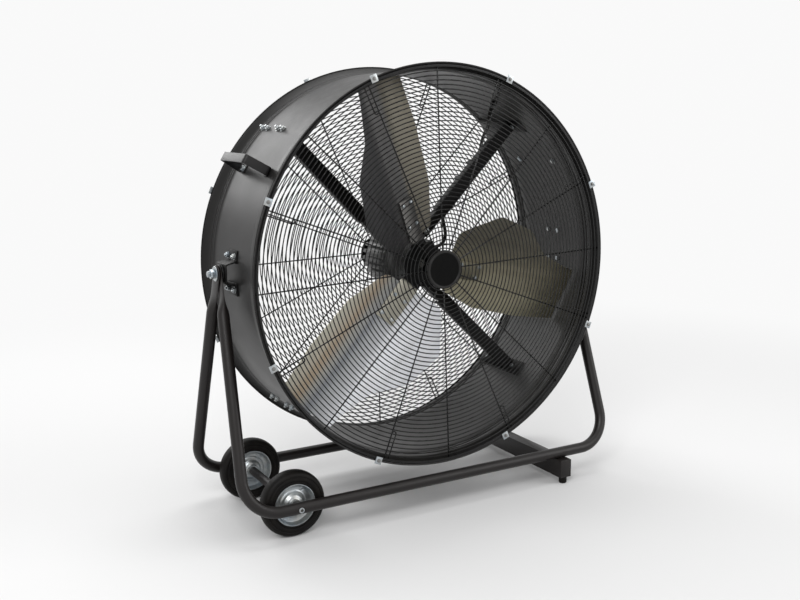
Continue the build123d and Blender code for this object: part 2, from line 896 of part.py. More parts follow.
def terminal_box():
    """A box on the barrel's right side, cut to sit over the fins."""
    reach = terminal_box_reach - motor_radius
    box = Box(reach, terminal_box_length, terminal_box_height)
    middle = terminal_box_front + terminal_box_length / 2
    box = Pos(motor_radius + reach / 2, middle, terminal_box_level) * box
    fins = RegularPolygon(fin_radius + seat_gap, small_sides, major_radius=False)
    return lift(box - Rot(90, 0, 0) * extrude(fins, 3 * motor_length, both=True))


def terminal_cover():
    middle = terminal_box_front + terminal_box_length / 2
    wide = terminal_box_length + 2 * terminal_lid_overhang
    lid = Box(terminal_lid, wide, terminal_box_height + 2 * terminal_lid_overhang)
    return lift(Pos(terminal_box_reach + terminal_lid / 2, middle, terminal_box_level) * lid)


# ---------------------------------------------------------------- hub and blades

def slope(pitch):
    return math.tan(math.radians(pitch))


def fold_plane(pitch, crease_near, crease_far, shift):
    """One flat of a folded blade. It meets the middle flat along a crease that runs outward."""
    span = blade_tip_radius - blade_root_radius
    drift = (crease_far - crease_near) / span
    start = crease_near - drift * blade_root_radius
    change = slope(middle_pitch) - slope(pitch)
    level = blade_plane + shift - start * change
    normal = Vector(drift * change, 1, slope(pitch))
    return Plane(origin=(0, level, 0), z_dir=normal)


def fold_planes(shift):
    return [
        fold_plane(middle_pitch, 0.0, 0.0, shift),
        fold_plane(lead_pitch, -crease_root, -lead_crease_tip, shift),
        fold_plane(trail_pitch, crease_root, trail_crease_tip, shift),
    ]


def blade_planform():
    """The blade's outline seen from the front, as reach from the axis and offset across."""
    leading = [(84, -66), (210, -107), (370, -116), (540, -107)]
    trailing = [(540, 47), (482, 56), (385, 82), (300, 146), (182, 169), (70, 104)]
    outline = make_face(Polyline(*leading, *trailing, close=True))
    outline = fillet(outline.vertices(), blade_corner)
    ring = Circle(blade_tip_radius) - Circle(blade_root_radius)
    return outline & ring


def blade(index):
    """A pressed sheet: the space between two folded surfaces, inside the outline."""
    skin = blade_thickness / math.cos(math.radians(middle_pitch))
    outline = extrude(Plane.XZ * blade_planform(), blade_tip_radius / 2, both=True)
    sheet = outline
    for plane in fold_planes(skin):
        sheet = split(sheet, plane, keep=Keep.BOTTOM)
    ahead = outline
    for plane in fold_planes(0.0):
        ahead = split(ahead, plane, keep=Keep.BOTTOM)
    turn = first_blade_angle - index * 360 / blade_count
    return lift(around(sheet - ahead, turn))


def arm_section(reach, pitch):
    """The corners of a cut across a hub arm, a small gap in front of the blade."""
    half = arm_width / 2
    lean = half * slope(pitch)
    front = blade_plane - seat_gap - arm_thickness
    return [
        Vector(reach, front + lean, -half),
        Vector(reach, front - lean, half),
        Vector(reach, front - lean + arm_thickness, half),
        Vector(reach, front + lean + arm_thickness, -half),
    ]


def hub_spider():
    """A disc with three twisted arms in front and a boss on the motor's shaft behind."""
    face = blade_plane - arm_thickness
    hub = along_axis(round_prism(hub_disc_radius, arm_thickness), face)
    hub += along_axis(round_prism(hub_boss_radius, hub_boss_length), face)
    twisted = arm_section(arm_twist_end, middle_pitch)
    arm = faceted(arm_section(arm_twist_start, 0.0), twisted)
    arm += faceted(twisted, arm_section(arm_end, middle_pitch))
    for index in range(blade_count):
        turn = first_blade_angle - index * 360 / blade_count
        hub += lift(around(arm, turn))
    hub -= along_axis(extrude(Circle(shaft_radius + screw_gap), hub_boss_length), face)
    return hub - along_axis(round_prism(hub_recess_radius, hub_recess_depth), face)


def blade_bolts():
    """Four bolt heads on each arm, square to the pitched sheet."""
    heads = []
    tilt = math.radians(middle_pitch)
    for index in range(blade_count):
        turn = first_blade_angle - index * 360 / blade_count
        for reach in blade_bolt_radii:
            for across in (-blade_bolt_side, blade_bolt_side):
                face = blade_plane - seat_gap - arm_thickness
                depth = face - across * slope(middle_pitch)
                normal = (0, -math.cos(tilt), -math.sin(tilt))
                head = hexagon(blade_bolt_flats, blade_bolt_height)
                heads.append(around(facing((reach, depth, across), normal) * head, turn))
    return lift(group(heads))


def recess_floor():
    return blade_plane - arm_thickness + hub_recess_depth


def hub_bolt():
    head = hexagon(hub_bolt_flats, hub_bolt_height)
    return along_axis(head, recess_floor() - hub_bolt_height)


# ---------------------------------------------------------------- wiring

def beside_strut(reach, across, depth):
    """A point near the upper right strut: out along it, across it, and in depth."""
    angle = math.radians(strut_angles["upper_right"])
    x = reach * math.cos(angle) - across * math.sin(angle)
    z = reach * math.sin(angle) + across * math.cos(angle)
    return Vector(x, depth, z)


def cable_route():
    """The motor's lead, from the wall, behind the upper right strut, to the terminal box."""
    entry = wall_radius - wall_thickness - gland_length
    behind = strut_front + strut_depth + cable_radius + seat_gap
    gland_end = terminal_box_reach + terminal_lid + gland_length
    level = terminal_box_level
    box_middle = terminal_box_front + terminal_box_length / 2
    return [
        polar(entry, wall_gland_angle, wall_gland_depth),
        polar(entry - lead_drop[0], wall_gland_angle, wall_gland_depth),
        polar(entry - lead_drop[1], wall_gland_angle - lead_turn, wall_gland_depth + lead_back),
        beside_strut(*lead_join, behind + lead_bulge[0]),
        beside_strut(lead_strut_span[0], 0, behind),
        beside_strut(lead_strut_span[1], 0, behind),
        beside_strut(*lead_leave, behind + lead_bulge[1]),
        Vector(lead_loop[0][0], behind + lead_bulge[2], lead_loop[0][1]),
        Vector(lead_loop[1][0], box_middle - lead_bow, lead_loop[1][1]),
        Vector(gland_end + lead_end_run, box_middle, level),
        Vector(gland_end, box_middle, level),
    ]


def motor_cable():
    """The lead's tube: each arc is as large as the two runs beside it allow."""
    points = cable_route()
    radii = []
    for before, corner, after in zip(points, points[1:], points[2:]):
        into = corner - before
        out = after - corner
        turn = math.radians(into.get_angle(out))
        radii.append(0.45 * min(into.length, out.length) / math.tan(turn / 2))
    section = RegularPolygon(cable_radius, cable_sides)
    cable = bent(points, radii, section)
    length = FilletPolyline(*points, radius=radii).length
    print("cable length", round(length), "radii", [round(radius) for radius in radii])
    print("cable volume over section x length", round(cable.volume / (section.area * length), 4))
    return lift(cable)


def gland(bore):
    """A hexagon-ended sleeve that grows along +Z."""
    return hexagon(2 * gland_radius, gland_length) - extrude(Circle(bore), gland_length)


def wall_gland():
    """The sleeve where the lead enters the drum."""
    seat = wall_radius - wall_thickness - seat_gap
    place = polar(seat, wall_gland_angle, wall_gland_depth)
    inward = outward(wall_gland_angle) * -1
    return lift(facing(place, inward) * hexagon(2 * gland_radius, gland_length - seat_gap))


def terminal_gland():
    middle = terminal_box_front + terminal_box_length / 2
    place = (terminal_box_reach + terminal_lid, middle, terminal_box_level)
    return lift(facing(place, (1, 0, 0)) * hexagon(2 * gland_radius, gland_length))


def cable_clips():
    """Saddles that hold the lead on the rear edges of the strut's channel."""
    room = cable_radius + seat_gap
    block = Pos(0, room + clip_wall / 2, 0) * Box(clip_band, 2 * room + clip_wall, strut_width)
    slot = Pos(0, room, 0) * Box(2 * clip_band, 2 * room, 2 * room)
    places = [Pos(reach, strut_front + strut_depth, 0) for reach in cable_clip_places]
    clips = [around(place * (block - slot), strut_angles["upper_right"]) for place in places]
    return lift(group(clips))


def switch_base():
    return wall_radius + seat_gap


def switch_box():
    """A box outside the wall, over the lead's gland."""
    half = switch_box_width / 2
    base = math.sqrt(switch_base() ** 2 - half**2)
    top = switch_base() + switch_box_height
    block = Box(top - base, switch_box_length, switch_box_width)
    block = Pos((top + base) / 2, 0, 0) * block
    inner = Box(
        switch_box_height - switch_box_wall,
        switch_box_length - 2 * switch_box_wall,
        switch_box_width - 2 * switch_box_wall,
    )
    block -= Pos(top - (switch_box_height - switch_box_wall) / 2, 0, 0) * inner
    wall = RegularPolygon(switch_base(), drum_sides, major_radius=False)
    block -= extrude(Plane.XZ * wall, switch_box_length, both=True)
    rear = switch_box_length / 2
    hole = Cylinder(knob_stem_radius + running_gap, 4 * switch_box_wall, rotation=(90, 0, 0))
    block -= Pos(knob_level(), rear, knob_across) * hole
    cord_hole = Cylinder(gland_bore, 4 * switch_box_wall, rotation=(90, 0, 0))
    block -= Pos(switch_base() + mains_gland_level, rear, -mains_gland_across) * cord_hole
    lead_hole = extrude(Plane.YZ * RegularPolygon(gland_radius, ring_sides), base, both=True)
    block -= Pos(switch_base(), wall_gland_depth, 0) * lead_hole
    return lift(around(block, wall_gland_angle))


def switch_lid_plate():
    place = Pos(switch_base() + switch_box_height + switch_lid / 2, 0, 0)
    lid = place * Box(switch_lid, switch_box_length, switch_box_width)
    return lift(around(lid, wall_gland_angle))


def knob_level():
    return switch_base() + switch_box_height / 2


def switch_knob():
    """A tapered knob with a bar grip, on a stem through the box's rear wall."""
    stem = switch_box_wall + knob_base
    body = prism(knob_radius, knob_radius - knob_taper, knob_base, ring_sides)
    grip = Box(2 * (knob_radius - knob_taper), knob_grip, knob_length - knob_base)
    body += Pos(0, 0, (knob_base + knob_length) / 2) * grip
    body += Pos(0, 0, -stem) * extrude(Circle(knob_stem_radius), stem)
    rear = switch_box_length / 2 + seat_gap
    turned = Pos(knob_level(), rear, knob_across) * Rot(-90, 0, 0) * body
    return lift(around(turned, wall_gland_angle))


def mains_gland():
    """The inlet for a mains cord, with a bore that grips it."""
    turned = Rot(-90, 0, 0) * gland(gland_bore)
    rear = switch_box_length / 2
    place = Pos(switch_base() + mains_gland_level, rear, -mains_gland_across)
    return lift(around(place * turned, wall_gland_angle))


# ---------------------------------------------------------------- export

def all_pieces():
    pieces = {
        "front_frame": tube_frame(-1, front_tab_offset),
        "rear_frame": tube_frame(1, rear_tab_offset()),
        "cross_foot": cross_foot(),
        "rubber_feet": rubber_feet(),
        "axle_rod": axle_rod(),
        "axle_caps": axle_caps(),
        "axle_spacer": axle_spacer(),
        "front_tyre": tyre(-1),
        "front_wheel_rim": wheel_rim(-1),
        "rear_tyre": tyre(1),
        "rear_wheel_rim": wheel_rim(1),
        "drum_shell": drum_shell(),
        "front_grille": front_grille(),
        "rear_grille": rear_grille(),
        "grille_cap": grille_cap(),
        "front_clips": clip_plates(-1),
        "rear_clips": clip_plates(1),
        "clip_screws": clip_screws(),
        "left_trunnion_bracket": trunnion_bracket(-1),
        "right_trunnion_bracket": trunnion_bracket(1),
        "bracket_bolts": bracket_bolts(),
        "pivot_bolts": pivot_bolts(),
        "friction_discs": friction_discs(),
        "pivot_washers": pivot_washers(),
        "pivot_nuts": pivot_nuts(),
        "left_handle": handle(-1),
        "right_handle": handle(1),
        "handle_bolts": handle_bolts(),
        "strut_bolts": strut_bolts(),
        "strut_nuts": strut_nuts(),
        "motor_housing": motor_housing(),
        "motor_bolts": motor_bolts(),
        "front_bell": front_bell(),
        "rear_bell": rear_bell(),
        "bearings": bearings(),
        "stator": stator(),
        "terminal_box": terminal_box(),
        "terminal_cover": terminal_cover(),
        "terminal_gland": terminal_gland(),
        "motor_cable": motor_cable(),
        "cable_clips": cable_clips(),
        "wall_gland": wall_gland(),
        "switch_box": switch_box(),
        "switch_lid": switch_lid_plate(),
        "mains_gland": mains_gland(),
        "switch_knob": switch_knob(),
        "shaft": shaft(),
        "rotor_core": rotor_core(),
        "hub_spider": hub_spider(),
        "blade_bolts": blade_bolts(),
        "hub_bolt": hub_bolt(),
    }
    for name, degrees in strut_angles.items():
        pieces[name + "_strut"] = strut(degrees)
    for index in range(blade_count):
        pieces["blade_" + str(index + 1)] = blade(index)
    return pieces


os.makedirs("parts", exist_ok=True)
for name, piece in all_pieces().items():
    export_step(piece, "parts/" + name + ".step")
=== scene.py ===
import bpy, json, math
from mathutils import Matrix, Vector


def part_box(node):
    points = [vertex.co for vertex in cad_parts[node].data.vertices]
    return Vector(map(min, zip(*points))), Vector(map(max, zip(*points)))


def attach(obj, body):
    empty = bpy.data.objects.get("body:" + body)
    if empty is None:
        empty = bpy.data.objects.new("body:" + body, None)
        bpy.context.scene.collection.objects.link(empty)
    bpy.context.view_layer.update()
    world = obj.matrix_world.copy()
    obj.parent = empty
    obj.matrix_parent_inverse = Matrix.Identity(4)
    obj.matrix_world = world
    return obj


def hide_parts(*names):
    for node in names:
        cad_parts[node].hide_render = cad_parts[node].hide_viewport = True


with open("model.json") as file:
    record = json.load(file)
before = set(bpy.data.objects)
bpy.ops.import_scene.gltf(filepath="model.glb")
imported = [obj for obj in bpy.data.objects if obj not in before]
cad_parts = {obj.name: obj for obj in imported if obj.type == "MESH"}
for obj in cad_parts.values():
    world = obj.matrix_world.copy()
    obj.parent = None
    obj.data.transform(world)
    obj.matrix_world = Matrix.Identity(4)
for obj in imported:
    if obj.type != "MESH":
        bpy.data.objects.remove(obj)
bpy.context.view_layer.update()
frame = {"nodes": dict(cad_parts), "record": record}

axisHeight = 0.683  # the air path above the floor
pivotHeight = 0.694  # the tilt axis above the floor
wallRadius = 0.53  # the outside of the drum's wall
wallInside = 0.528
halfDepth = 0.2  # from the drum's middle to a mouth
seatGap = 0.0003  # between the wall and what is bolted to it
ends = (("front", -1), ("rear", 1))


def clearSelection():
    if bpy.context.object and bpy.context.object.mode != "OBJECT":
        closeMesh()
    bpy.ops.object.select_all(action="DESELECT")


def pickOnly(piece):
    clearSelection()
    piece.select_set(True)
    bpy.context.view_layer.objects.active = piece


def justAdded(name):
    piece = bpy.context.object
    piece.name = name
    return piece


def selectAll():
    bpy.ops.mesh.select_all(action="SELECT")


def openMesh():  # edit mode, with everything selected
    bpy.ops.object.mode_set(mode="EDIT")
    selectAll()


def closeMesh():
    bpy.ops.object.mode_set(mode="OBJECT")


def faceOut():
    selectAll()
    bpy.ops.mesh.normals_make_consistent(inside=False)


def extrudeBy(step):
    bpy.ops.mesh.extrude_region_move(TRANSFORM_OT_translate={"value": step})


def smoothed(piece, degrees):  # faces that meet at less than the angle are shaded as one
    pickOnly(piece)
    bpy.ops.object.shade_smooth_by_angle(angle=math.radians(degrees))
    return piece


def bakePlace(piece):  # the place goes into the mesh, the object stays at the origin
    pickOnly(piece)
    bpy.ops.object.transform_apply(location=True, rotation=True, scale=True)
    return piece


def placed(piece, matrix):
    piece.matrix_world = matrix @ piece.matrix_world
    return bakePlace(piece)


def movedTo(piece, place):
    return placed(piece, Matrix.Translation(place))


def layOn(piece, origin, direction):  # turns a piece built along +Z to a place and direction
    turn = Vector(direction).normalized().to_track_quat("Z", "Y").to_matrix().to_4x4()
    return placed(piece, Matrix.Translation(origin) @ turn)


def turnAbout(piece, degrees):  # about the drum's axis, counter-clockwise seen from the front
    lift = Matrix.Translation((0, 0, axisHeight))
    return placed(piece, lift @ Matrix.Rotation(math.radians(-degrees), 4, "Y") @ lift.inverted())


def twin(piece, name):
    copy = piece.copy()
    copy.data = piece.data.copy()
    copy.name = name
    bpy.context.collection.objects.link(copy)
    return copy


def joinAll(name, pieces):
    pickOnly(pieces[0])
    for piece in pieces[1:]:
        piece.select_set(True)
    if len(pieces) > 1:
        bpy.ops.object.join()
    return justAdded(name)


def copiesAt(first, places):  # one copy for each origin and direction, under the first's name
    name = first.name
    made = [layOn(twin(first, "copy"), origin, direction) for origin, direction in places]
    bpy.data.objects.remove(first)
    return joinAll(name, made)


def outward(degrees):
    return Vector((math.cos(math.radians(degrees)), 0, math.sin(math.radians(degrees))))


def polar(radius, degrees, depth):  # a point beside the drum's axis
    return Vector((0, depth, axisHeight)) + radius * outward(degrees)


def turned(name, profile, sides=64, smooth=35):
    # rings of (radius, height) along +Z, each extruded from the last; a radius of 0 closes it
    tiny = 2e-5
    rings = [(max(radius, tiny), height) for radius, height in profile]
    clearSelection()
    bpy.ops.mesh.primitive_circle_add(vertices=sides, radius=rings[0][0], location=(0, 0, rings[0][1]))
    piece = justAdded(name)
    openMesh()
    for (radius, height), (nextRadius, nextHeight) in zip(rings, rings[1:]):
        extrudeBy((0, 0, nextHeight - height))
        grow = nextRadius / radius
        bpy.ops.transform.resize(value=(grow, grow, 1), center_override=(0, 0, nextHeight))
    selectAll()
    bpy.ops.mesh.remove_doubles(threshold=2 * tiny)
    faceOut()
    closeMesh()
    return smoothed(bakePlace(piece), smooth)


def useModifier(piece, kind, **settings):
    pickOnly(piece)
    modifier = piece.modifiers.new(kind.title(), kind)
    for key, value in settings.items():
        setattr(modifier, key, value)
    bpy.ops.object.modifier_apply(modifier=modifier.name)
    return piece


def softBox(name, low, high, edge, segments=3):  # a box with rounded edges
    clearSelection()
    middle = [(a + b) / 2 for a, b in zip(low, high)]
    bpy.ops.mesh.primitive_cube_add(size=1, location=middle)
    piece = justAdded(name)
    piece.scale = [b - a for a, b in zip(low, high)]
    bakePlace(piece)
    useModifier(piece, "BEVEL", width=edge, segments=segments)
    return smoothed(piece, 40)


def hexHead(name, flats, height, chamfer=0.001):  # a chamfered nut or head along +Z
    clearSelection()
    bpy.ops.mesh.primitive_cylinder_add(
        vertices=6, radius=flats / math.sqrt(3), depth=height, location=(0, 0, height / 2))
    piece = justAdded(name)
    openMesh()
    bpy.ops.mesh.bevel(offset=chamfer, segments=2, affect="EDGES")
    closeMesh()
    return smoothed(bakePlace(piece), 35)


def studEnd(name, radius, length):  # a bolt's end with thread rings and a rounded tip
    pitch, groove = 0.00125, 0.93
    rings = [(0, 0), (radius, 0)]
    level = pitch
    while level < length - 0.002:
        rings += [(radius, level - pitch * 0.35), (radius * groove, level)]
        level += pitch
    rings += [(radius, length - 0.0015), (radius * 0.82, length), (0, length)]
    return turned(name, rings, 20, 25)


def flangedHead(name, flats, height, flange=0.72):  # the flange's radius is a share of the flats
    sheet = 0.0011
    washer = turned("washer", [(0, 0), (flats * flange, 0), (flats * flange, sheet), (0, sheet)], 28)
    head = movedTo(hexHead("head", flats, height - sheet, 0.0009), (0, 0, sheet))
    return joinAll(name, [washer, head])


def wallBolt(name, form):  # washer, nut and stud end along +Z
    sheet, reach = 0.0012, form["flats"] * 0.66
    washer = turned("washer", [(0, 0), (reach, 0), (reach, sheet), (0, sheet)], 32)
    nut = movedTo(hexHead("nut", form["flats"], form["nut"]), (0, 0, sheet))
    return joinAll(name, [washer, nut, studEnd("stud", form["flats"] * 0.3, form["stud"])])


def softened(node, name, edge, smooth):  # a copy of a CAD node with its sharp edges rounded
    piece = twin(frame["nodes"][node], name)
    pickOnly(piece)
    openMesh()
    bpy.ops.mesh.remove_doubles(threshold=2e-6)
    bpy.ops.mesh.dissolve_limited(angle_limit=math.radians(1))
    faceOut()
    closeMesh()
    useModifier(
        piece, "BEVEL", width=edge, segments=2, limit_method="ANGLE", angle_limit=math.radians(30))
    openMesh()
    bpy.ops.mesh.dissolve_degenerate(threshold=2e-6)
    closeMesh()
    return smoothed(piece, smooth)


class Shade:
    # a socket that adds Math nodes when it is used in an expression
    def __init__(self, tree, socket=None):
        self.tree = tree
        self.socket = socket

    def make(self, kind, settings=None, values=None, out=0):
        node = self.tree.nodes.new("ShaderNode" + kind)
        for key, value in (settings or {}).items():
            if key == "stops":
                ramp = node.color_ramp
                while len(ramp.elements) < len(value):
                    ramp.elements.new(0.5)
                for element, (place, colour) in zip(ramp.elements, value):
                    element.position = place
                    element.color = (*colour, 1)
            else:
                setattr(node, key, value)
        for key, value in (values or {}).items():
            target = node.inputs[key]
            if isinstance(value, Shade):
                self.tree.links.new(value.socket, target)
            else:
                target.default_value = (*value, 1) if target.type == "RGBA" else value
        return Shade(self.tree, node.outputs[out]) if node.outputs else None

    def __add__(self, other):
        return self.make("Math", {"operation": "ADD"}, {0: self, 1: other})

    __radd__ = __add__

    def __sub__(self, other):
        return self.make("Math", {"operation": "SUBTRACT"}, {0: self, 1: other})

    def __rsub__(self, other):
        return self.make("Math", {"operation": "SUBTRACT"}, {0: other, 1: self})

    def __mul__(self, other):
        return self.make("Math", {"operation": "MULTIPLY"}, {0: self, 1: other})

    __rmul__ = __mul__


def noise(place, scale, detail=4, roughness=0.55):
    values = {"Vector": place, "Scale": scale, "Detail": detail, "Roughness": roughness}
    return place.make("TexNoise", None, values)


def stretched(place, scale):
    return place.make("Mapping", None, {"Vector": place, "Scale": scale})


def between(value, low, high):  # 0 below low, 1 above high
    return value.make("MapRange", None, {"Value": value, "From Min": low, "From Max": high})


def blendColours(factor, first, second, mode="MIX"):
    settings = {"data_type": "RGBA", "blend_type": mode}
    return factor.make("Mix", settings, {0: factor, 6: first, 7: second}, 2)


def vectorMaths(operation, first, second=(0, 0, 0), out=0):
    return first.make("VectorMath", {"operation": operation}, {0: first, 1: second}, out)


def fromAxis(place, depth=0):  # the place measured from a point on the drum's axis
    return vectorMaths("SUBTRACT", place, (0, depth, axisHeight))


def bumped(height, strength, distance):
    values = {"Strength": strength, "Distance": distance, "Height": height}
    return height.make("Bump", None, values)


def emptyTree(owner):  # of a material or the world
    owner.use_nodes = True
    owner.node_tree.nodes.clear()
    return Shade(owner.node_tree)


def newFinish(name, build):
    material = bpy.data.materials.new(name)
    shade = emptyTree(material)
    plain, base, rough, bump = build(shade.make("TexCoord", out=3))
    values = {**plain, "Base Color": base, "Roughness": rough, "Normal": bump}
    shade.make("OutputMaterial", None, {"Surface": shade.make("BsdfPrincipled", None, values)})
    return material


def powderPaint(colour, worn, peel, roughness, gloss):
    # powder coat: orange peel, faint clouding, dust on what faces up, thin scuffs
    darker = [0.78 * part for part in colour]

    def build(place):
        cloud = noise(place, 9, 3)
        scuff = between(noise(stretched(place, (40, 40, 7)), 6, 6, 0.7), 0.66, 0.74)
        up = place.make("SeparateXYZ", None, {0: place.make("NewGeometry", out=1)}, 2)
        dust = between(up, 0.35, 1) * between(noise(place, 30, 5, 0.6), 0.35, 0.8)
        base = blendColours(between(cloud, 0.3, 0.7), colour, darker)
        base = blendColours(scuff * 0.35, base, worn)
        base = blendColours(dust * 0.08, base, (0.11, 0.105, 0.098))
        rough = roughness + 0.1 * cloud + 0.1 * scuff + 0.12 * dust - 0.05
        bump = bumped(noise(place, 900, 2, 0.5), peel, 0.0004)
        return {"Specular IOR Level": gloss}, base, rough, bump
    return build


def drumPaint(place):
    # the same powder coat, with painted light making the inside of the wall paler
    coat = powderPaint((0.012, 0.0115, 0.0112), (0.046, 0.043, 0.04), 0.25, 0.38, 0.2)
    plain, base, rough, bump = coat(place)
    flat = vectorMaths("MULTIPLY", fromAxis(place), (1, 0, 1))
    radius = vectorMaths("LENGTH", flat, out=1)
    # painted light: inside the wall's radius the colour is made paler
    inner = 1 - between(radius, 0.5288, 0.5296)
    base = blendColours(inner * 0.85, base, (0.064, 0.063, 0.062))
    return plain, base, rough, bump


def platedZinc(place):
    # bright zinc: cloudy passivation with a faint blue and yellow cast
    cloud = noise(place, 26, 4, 0.6)
    fine = noise(place, 380, 3, 0.6)
    spangle = between(noise(place, 90, 3, 0.5), 0.35, 0.65)
    cast = between(cloud, 0.35, 0.68)
    base = blendColours(cast, (0.4, 0.445, 0.48), (0.5, 0.5, 0.475))
    base = blendColours(spangle * 0.45, base, (0.2, 0.225, 0.25))
    rough = 0.2 + 0.16 * cloud + 0.1 * fine
    bump = bumped(fine, 0.12, 0.0003)
    return {"Metallic": 0.95}, base, rough, bump


paintedBladeReflections = {  # for each blade's angle, bands of painted reflection and painted shade from the edge that follows to the one that leads
    108: [
        (0, (0.135, 0.122, 0.095)), (0.42, (0.13, 0.12, 0.098)), (0.46, (0.095, 0.093, 0.092)),
        (0.6, (0.085, 0.083, 0.083)), (0.64, (0.062, 0.061, 0.063)), (1, (0.055, 0.055, 0.057)),
    ],
    -12: [
        (0, (0.28, 0.26, 0.195)), (0.32, (0.34, 0.315, 0.225)), (0.5, (0.31, 0.285, 0.205)),
        (0.6, (0.24, 0.22, 0.16)), (0.72, (0.15, 0.14, 0.11)), (1, (0.11, 0.103, 0.085)),
    ],
    -132: [
        (0, (0.44, 0.42, 0.35)), (0.24, (0.47, 0.45, 0.38)), (0.33, (0.38, 0.305, 0.225)),
        (0.39, (0.33, 0.33, 0.31)), (0.43, (0.22, 0.23, 0.25)), (0.47, (0.34, 0.35, 0.36)),
        (0.53, (0.46, 0.47, 0.49)), (0.64, (0.76, 0.77, 0.8)), (1, (0.62, 0.63, 0.66)),
    ],
}
# painted reflection: each arm takes the tone of its blade's painted reflection
paintedArmReflections = {108: (0.095, 0.092, 0.088), -12: (0.26, 0.24, 0.175), -132: (0.36, 0.345, 0.29)}


def bladeMetal(degrees):
    # brushed sheet: fine lines along the blade, and broad bands across it of painted reflection and painted
    # shade, a different set on each blade
    def build(place):
        turn = {"Vector": fromAxis(place), "Rotation": (0, math.radians(degrees), 0)}
        local = place.make("Mapping", None, turn)
        lines = noise(stretched(local, (2.5, 30, 240)), 3, 5, 0.65)
        streaks = noise(stretched(local, (1.6, 8, 34)), 1, 4, 0.6)
        cloud = noise(local, 7, 4, 0.6)
        across = local.make("SeparateXYZ", None, {0: local}, 2)
        # the place across the blade picks its band of painted reflection or painted shade
        spot = across * 2.6 + 0.5 + 0.1 * streaks - 0.05
        base = spot.make("ValToRGB", {"stops": paintedBladeReflections[degrees]}, {0: spot})
        worn = between(streaks, 0.45, 0.75) * 0.35
        base = blendColours(worn, base, (0.62, 0.6, 0.56), "MULTIPLY")
        dull = between(cloud, 0.45, 0.75) * 0.2
        base = blendColours(dull, base, (0.55, 0.54, 0.52), "MULTIPLY")
        rough = 0.27 + 0.14 * lines + 0.08 * cloud
        bump = bumped(lines, 0.12, 0.0003)
        return {"Metallic": 0.9}, base, rough, bump
    return build


def hubAndArms(place):
    # black paint on the hub, bare metal out along the three arms, each arm coloured with its blade's painted
    # reflection
    centred = fromAxis(place)
    cloud = noise(place, 40, 4, 0.6)
    base = blendColours(cloud, (0.0018, 0.0018, 0.0018), (0.0045, 0.0045, 0.0045))
    arms = []
    for degrees, tone in paintedArmReflections.items():
        reach = vectorMaths("DOT_PRODUCT", centred, tuple(outward(degrees)), 1)
        arms.append(between(reach + 0.006 * cloud, 0.07, 0.077))
        base = blendColours(arms[-1], base, tone)
    bare = sum(arms)
    rough = 0.42 - 0.12 * bare + 0.12 * cloud
    bump = bumped(cloud, 0.12, 0.0003)
    return {"Specular IOR Level": 0.1, "Metallic": 0.85 * bare}, base, rough, bump


def glossyCap(place):
    # black moulding with a deep gloss, faint wiping marks and a painted highlight on the raised edge
    marks = noise(place, 70, 5, 0.65)
    radius = vectorMaths("LENGTH", fromAxis(place, -halfDepth), out=1)
    base = blendColours(marks, (0.0015, 0.0015, 0.0015), (0.0035, 0.0035, 0.0033))
    # painted highlight: the raised edge's ring is made paler
    base = blendColours(between(radius, 0.045, 0.0462), base, (0.024, 0.0235, 0.023))
    rough = 0.16 + 0.16 * marks
    bump = bumped(noise(place, 1600, 2, 0.5), 0.08, 0.0002)
    return {"Specular IOR Level": 0.07}, base, rough, bump


def castPaint(place):
    # painted castings of the motor: slightly lumpy, a little lighter than the drum
    lumps = noise(place, 120, 4, 0.6)
    cloud = between(noise(place, 16, 3, 0.5), 0.3, 0.7)
    base = blendColours(cloud, (0.098, 0.098, 0.1), (0.14, 0.139, 0.136))
    rough = 0.32 + 0.14 * lumps
    bump = bumped(lumps, 0.4, 0.0006)
    return {"Metallic": 0.4}, base, rough, bump


def machinedSteel(place):
    lines = noise(stretched(place, (10, 600, 10)), 4, 4, 0.6)
    base = blendColours(lines, (0.2, 0.2, 0.195), (0.34, 0.335, 0.32))
    rough = 0.26 + 0.16 * lines
    bump = bumped(lines, 0.08, 0.0002)
    return {"Metallic": 1}, base, rough, bump


def clouded(form):
    # two tones in clouds, with the roughness following them and a finer grain to feel
    def build(place):
        cloud = noise(place, *form["cloud"])
        mix = between(cloud, *form["contrast"])
        base = blendColours(mix, form["dark"], form["light"])
        rough = form["rough"][0] + form["rough"][1] * cloud
        bump = bumped(noise(place, *form["grain"]), *form["bump"])
        return form["plain"], base, rough, bump
    return build


rubberForm = {
    "cloud": (22, 5, 0.6), "contrast": (0.35, 0.75), "grain": (520, 3, 0.6), "bump": (0.3, 0.0004),
    "dark": (0.0035, 0.0032, 0.0031), "light": (0.011, 0.0095, 0.008), "rough": (0.44, 0.16),
    "plain": {"Specular IOR Level": 0.12},
}
plasticForm = {
    "cloud": (40, 4, 0.6), "contrast": (0, 1), "grain": (1400, 2, 0.5), "bump": (0.18, 0.0002),
    "dark": (0.0025, 0.0025, 0.0027), "light": (0.0055, 0.0055, 0.0058), "rough": (0.26, 0.14),
    "plain": {"Specular IOR Level": 0.18},
}
oiledForm = {
    "cloud": (60, 4, 0.6), "contrast": (0, 1), "grain": (60, 4, 0.6), "bump": (0.15, 0.0002),
    "dark": (0.045, 0.044, 0.042), "light": (0.11, 0.105, 0.095), "rough": (0.3, 0.16),
    "plain": {"Metallic": 0.8},
}
screwForm = {**oiledForm, "dark": (0.13, 0.13, 0.128), "light": (0.26, 0.255, 0.245)}
coats = {  # colour, scuffed colour, orange peel, roughness, gloss
    "stand": ("satinBlackPowder", (0.0115, 0.0095, 0.009), (0.05, 0.046, 0.042), 0.35, 0.36, 0.3),
    "drum": ("charcoalPowder", (0.0165, 0.0158, 0.016), (0.055, 0.052, 0.05), 0.25, 0.4, 0.22),
    "brace": ("blackBracePowder", (0.0045, 0.0042, 0.0042), (0.024, 0.022, 0.021), 0.25, 0.44, 0.15),
    "wire": ("blackWireCoat", (0.0026, 0.0025, 0.0025), (0.014, 0.013, 0.012), 0.12, 0.26, 0.38),
}
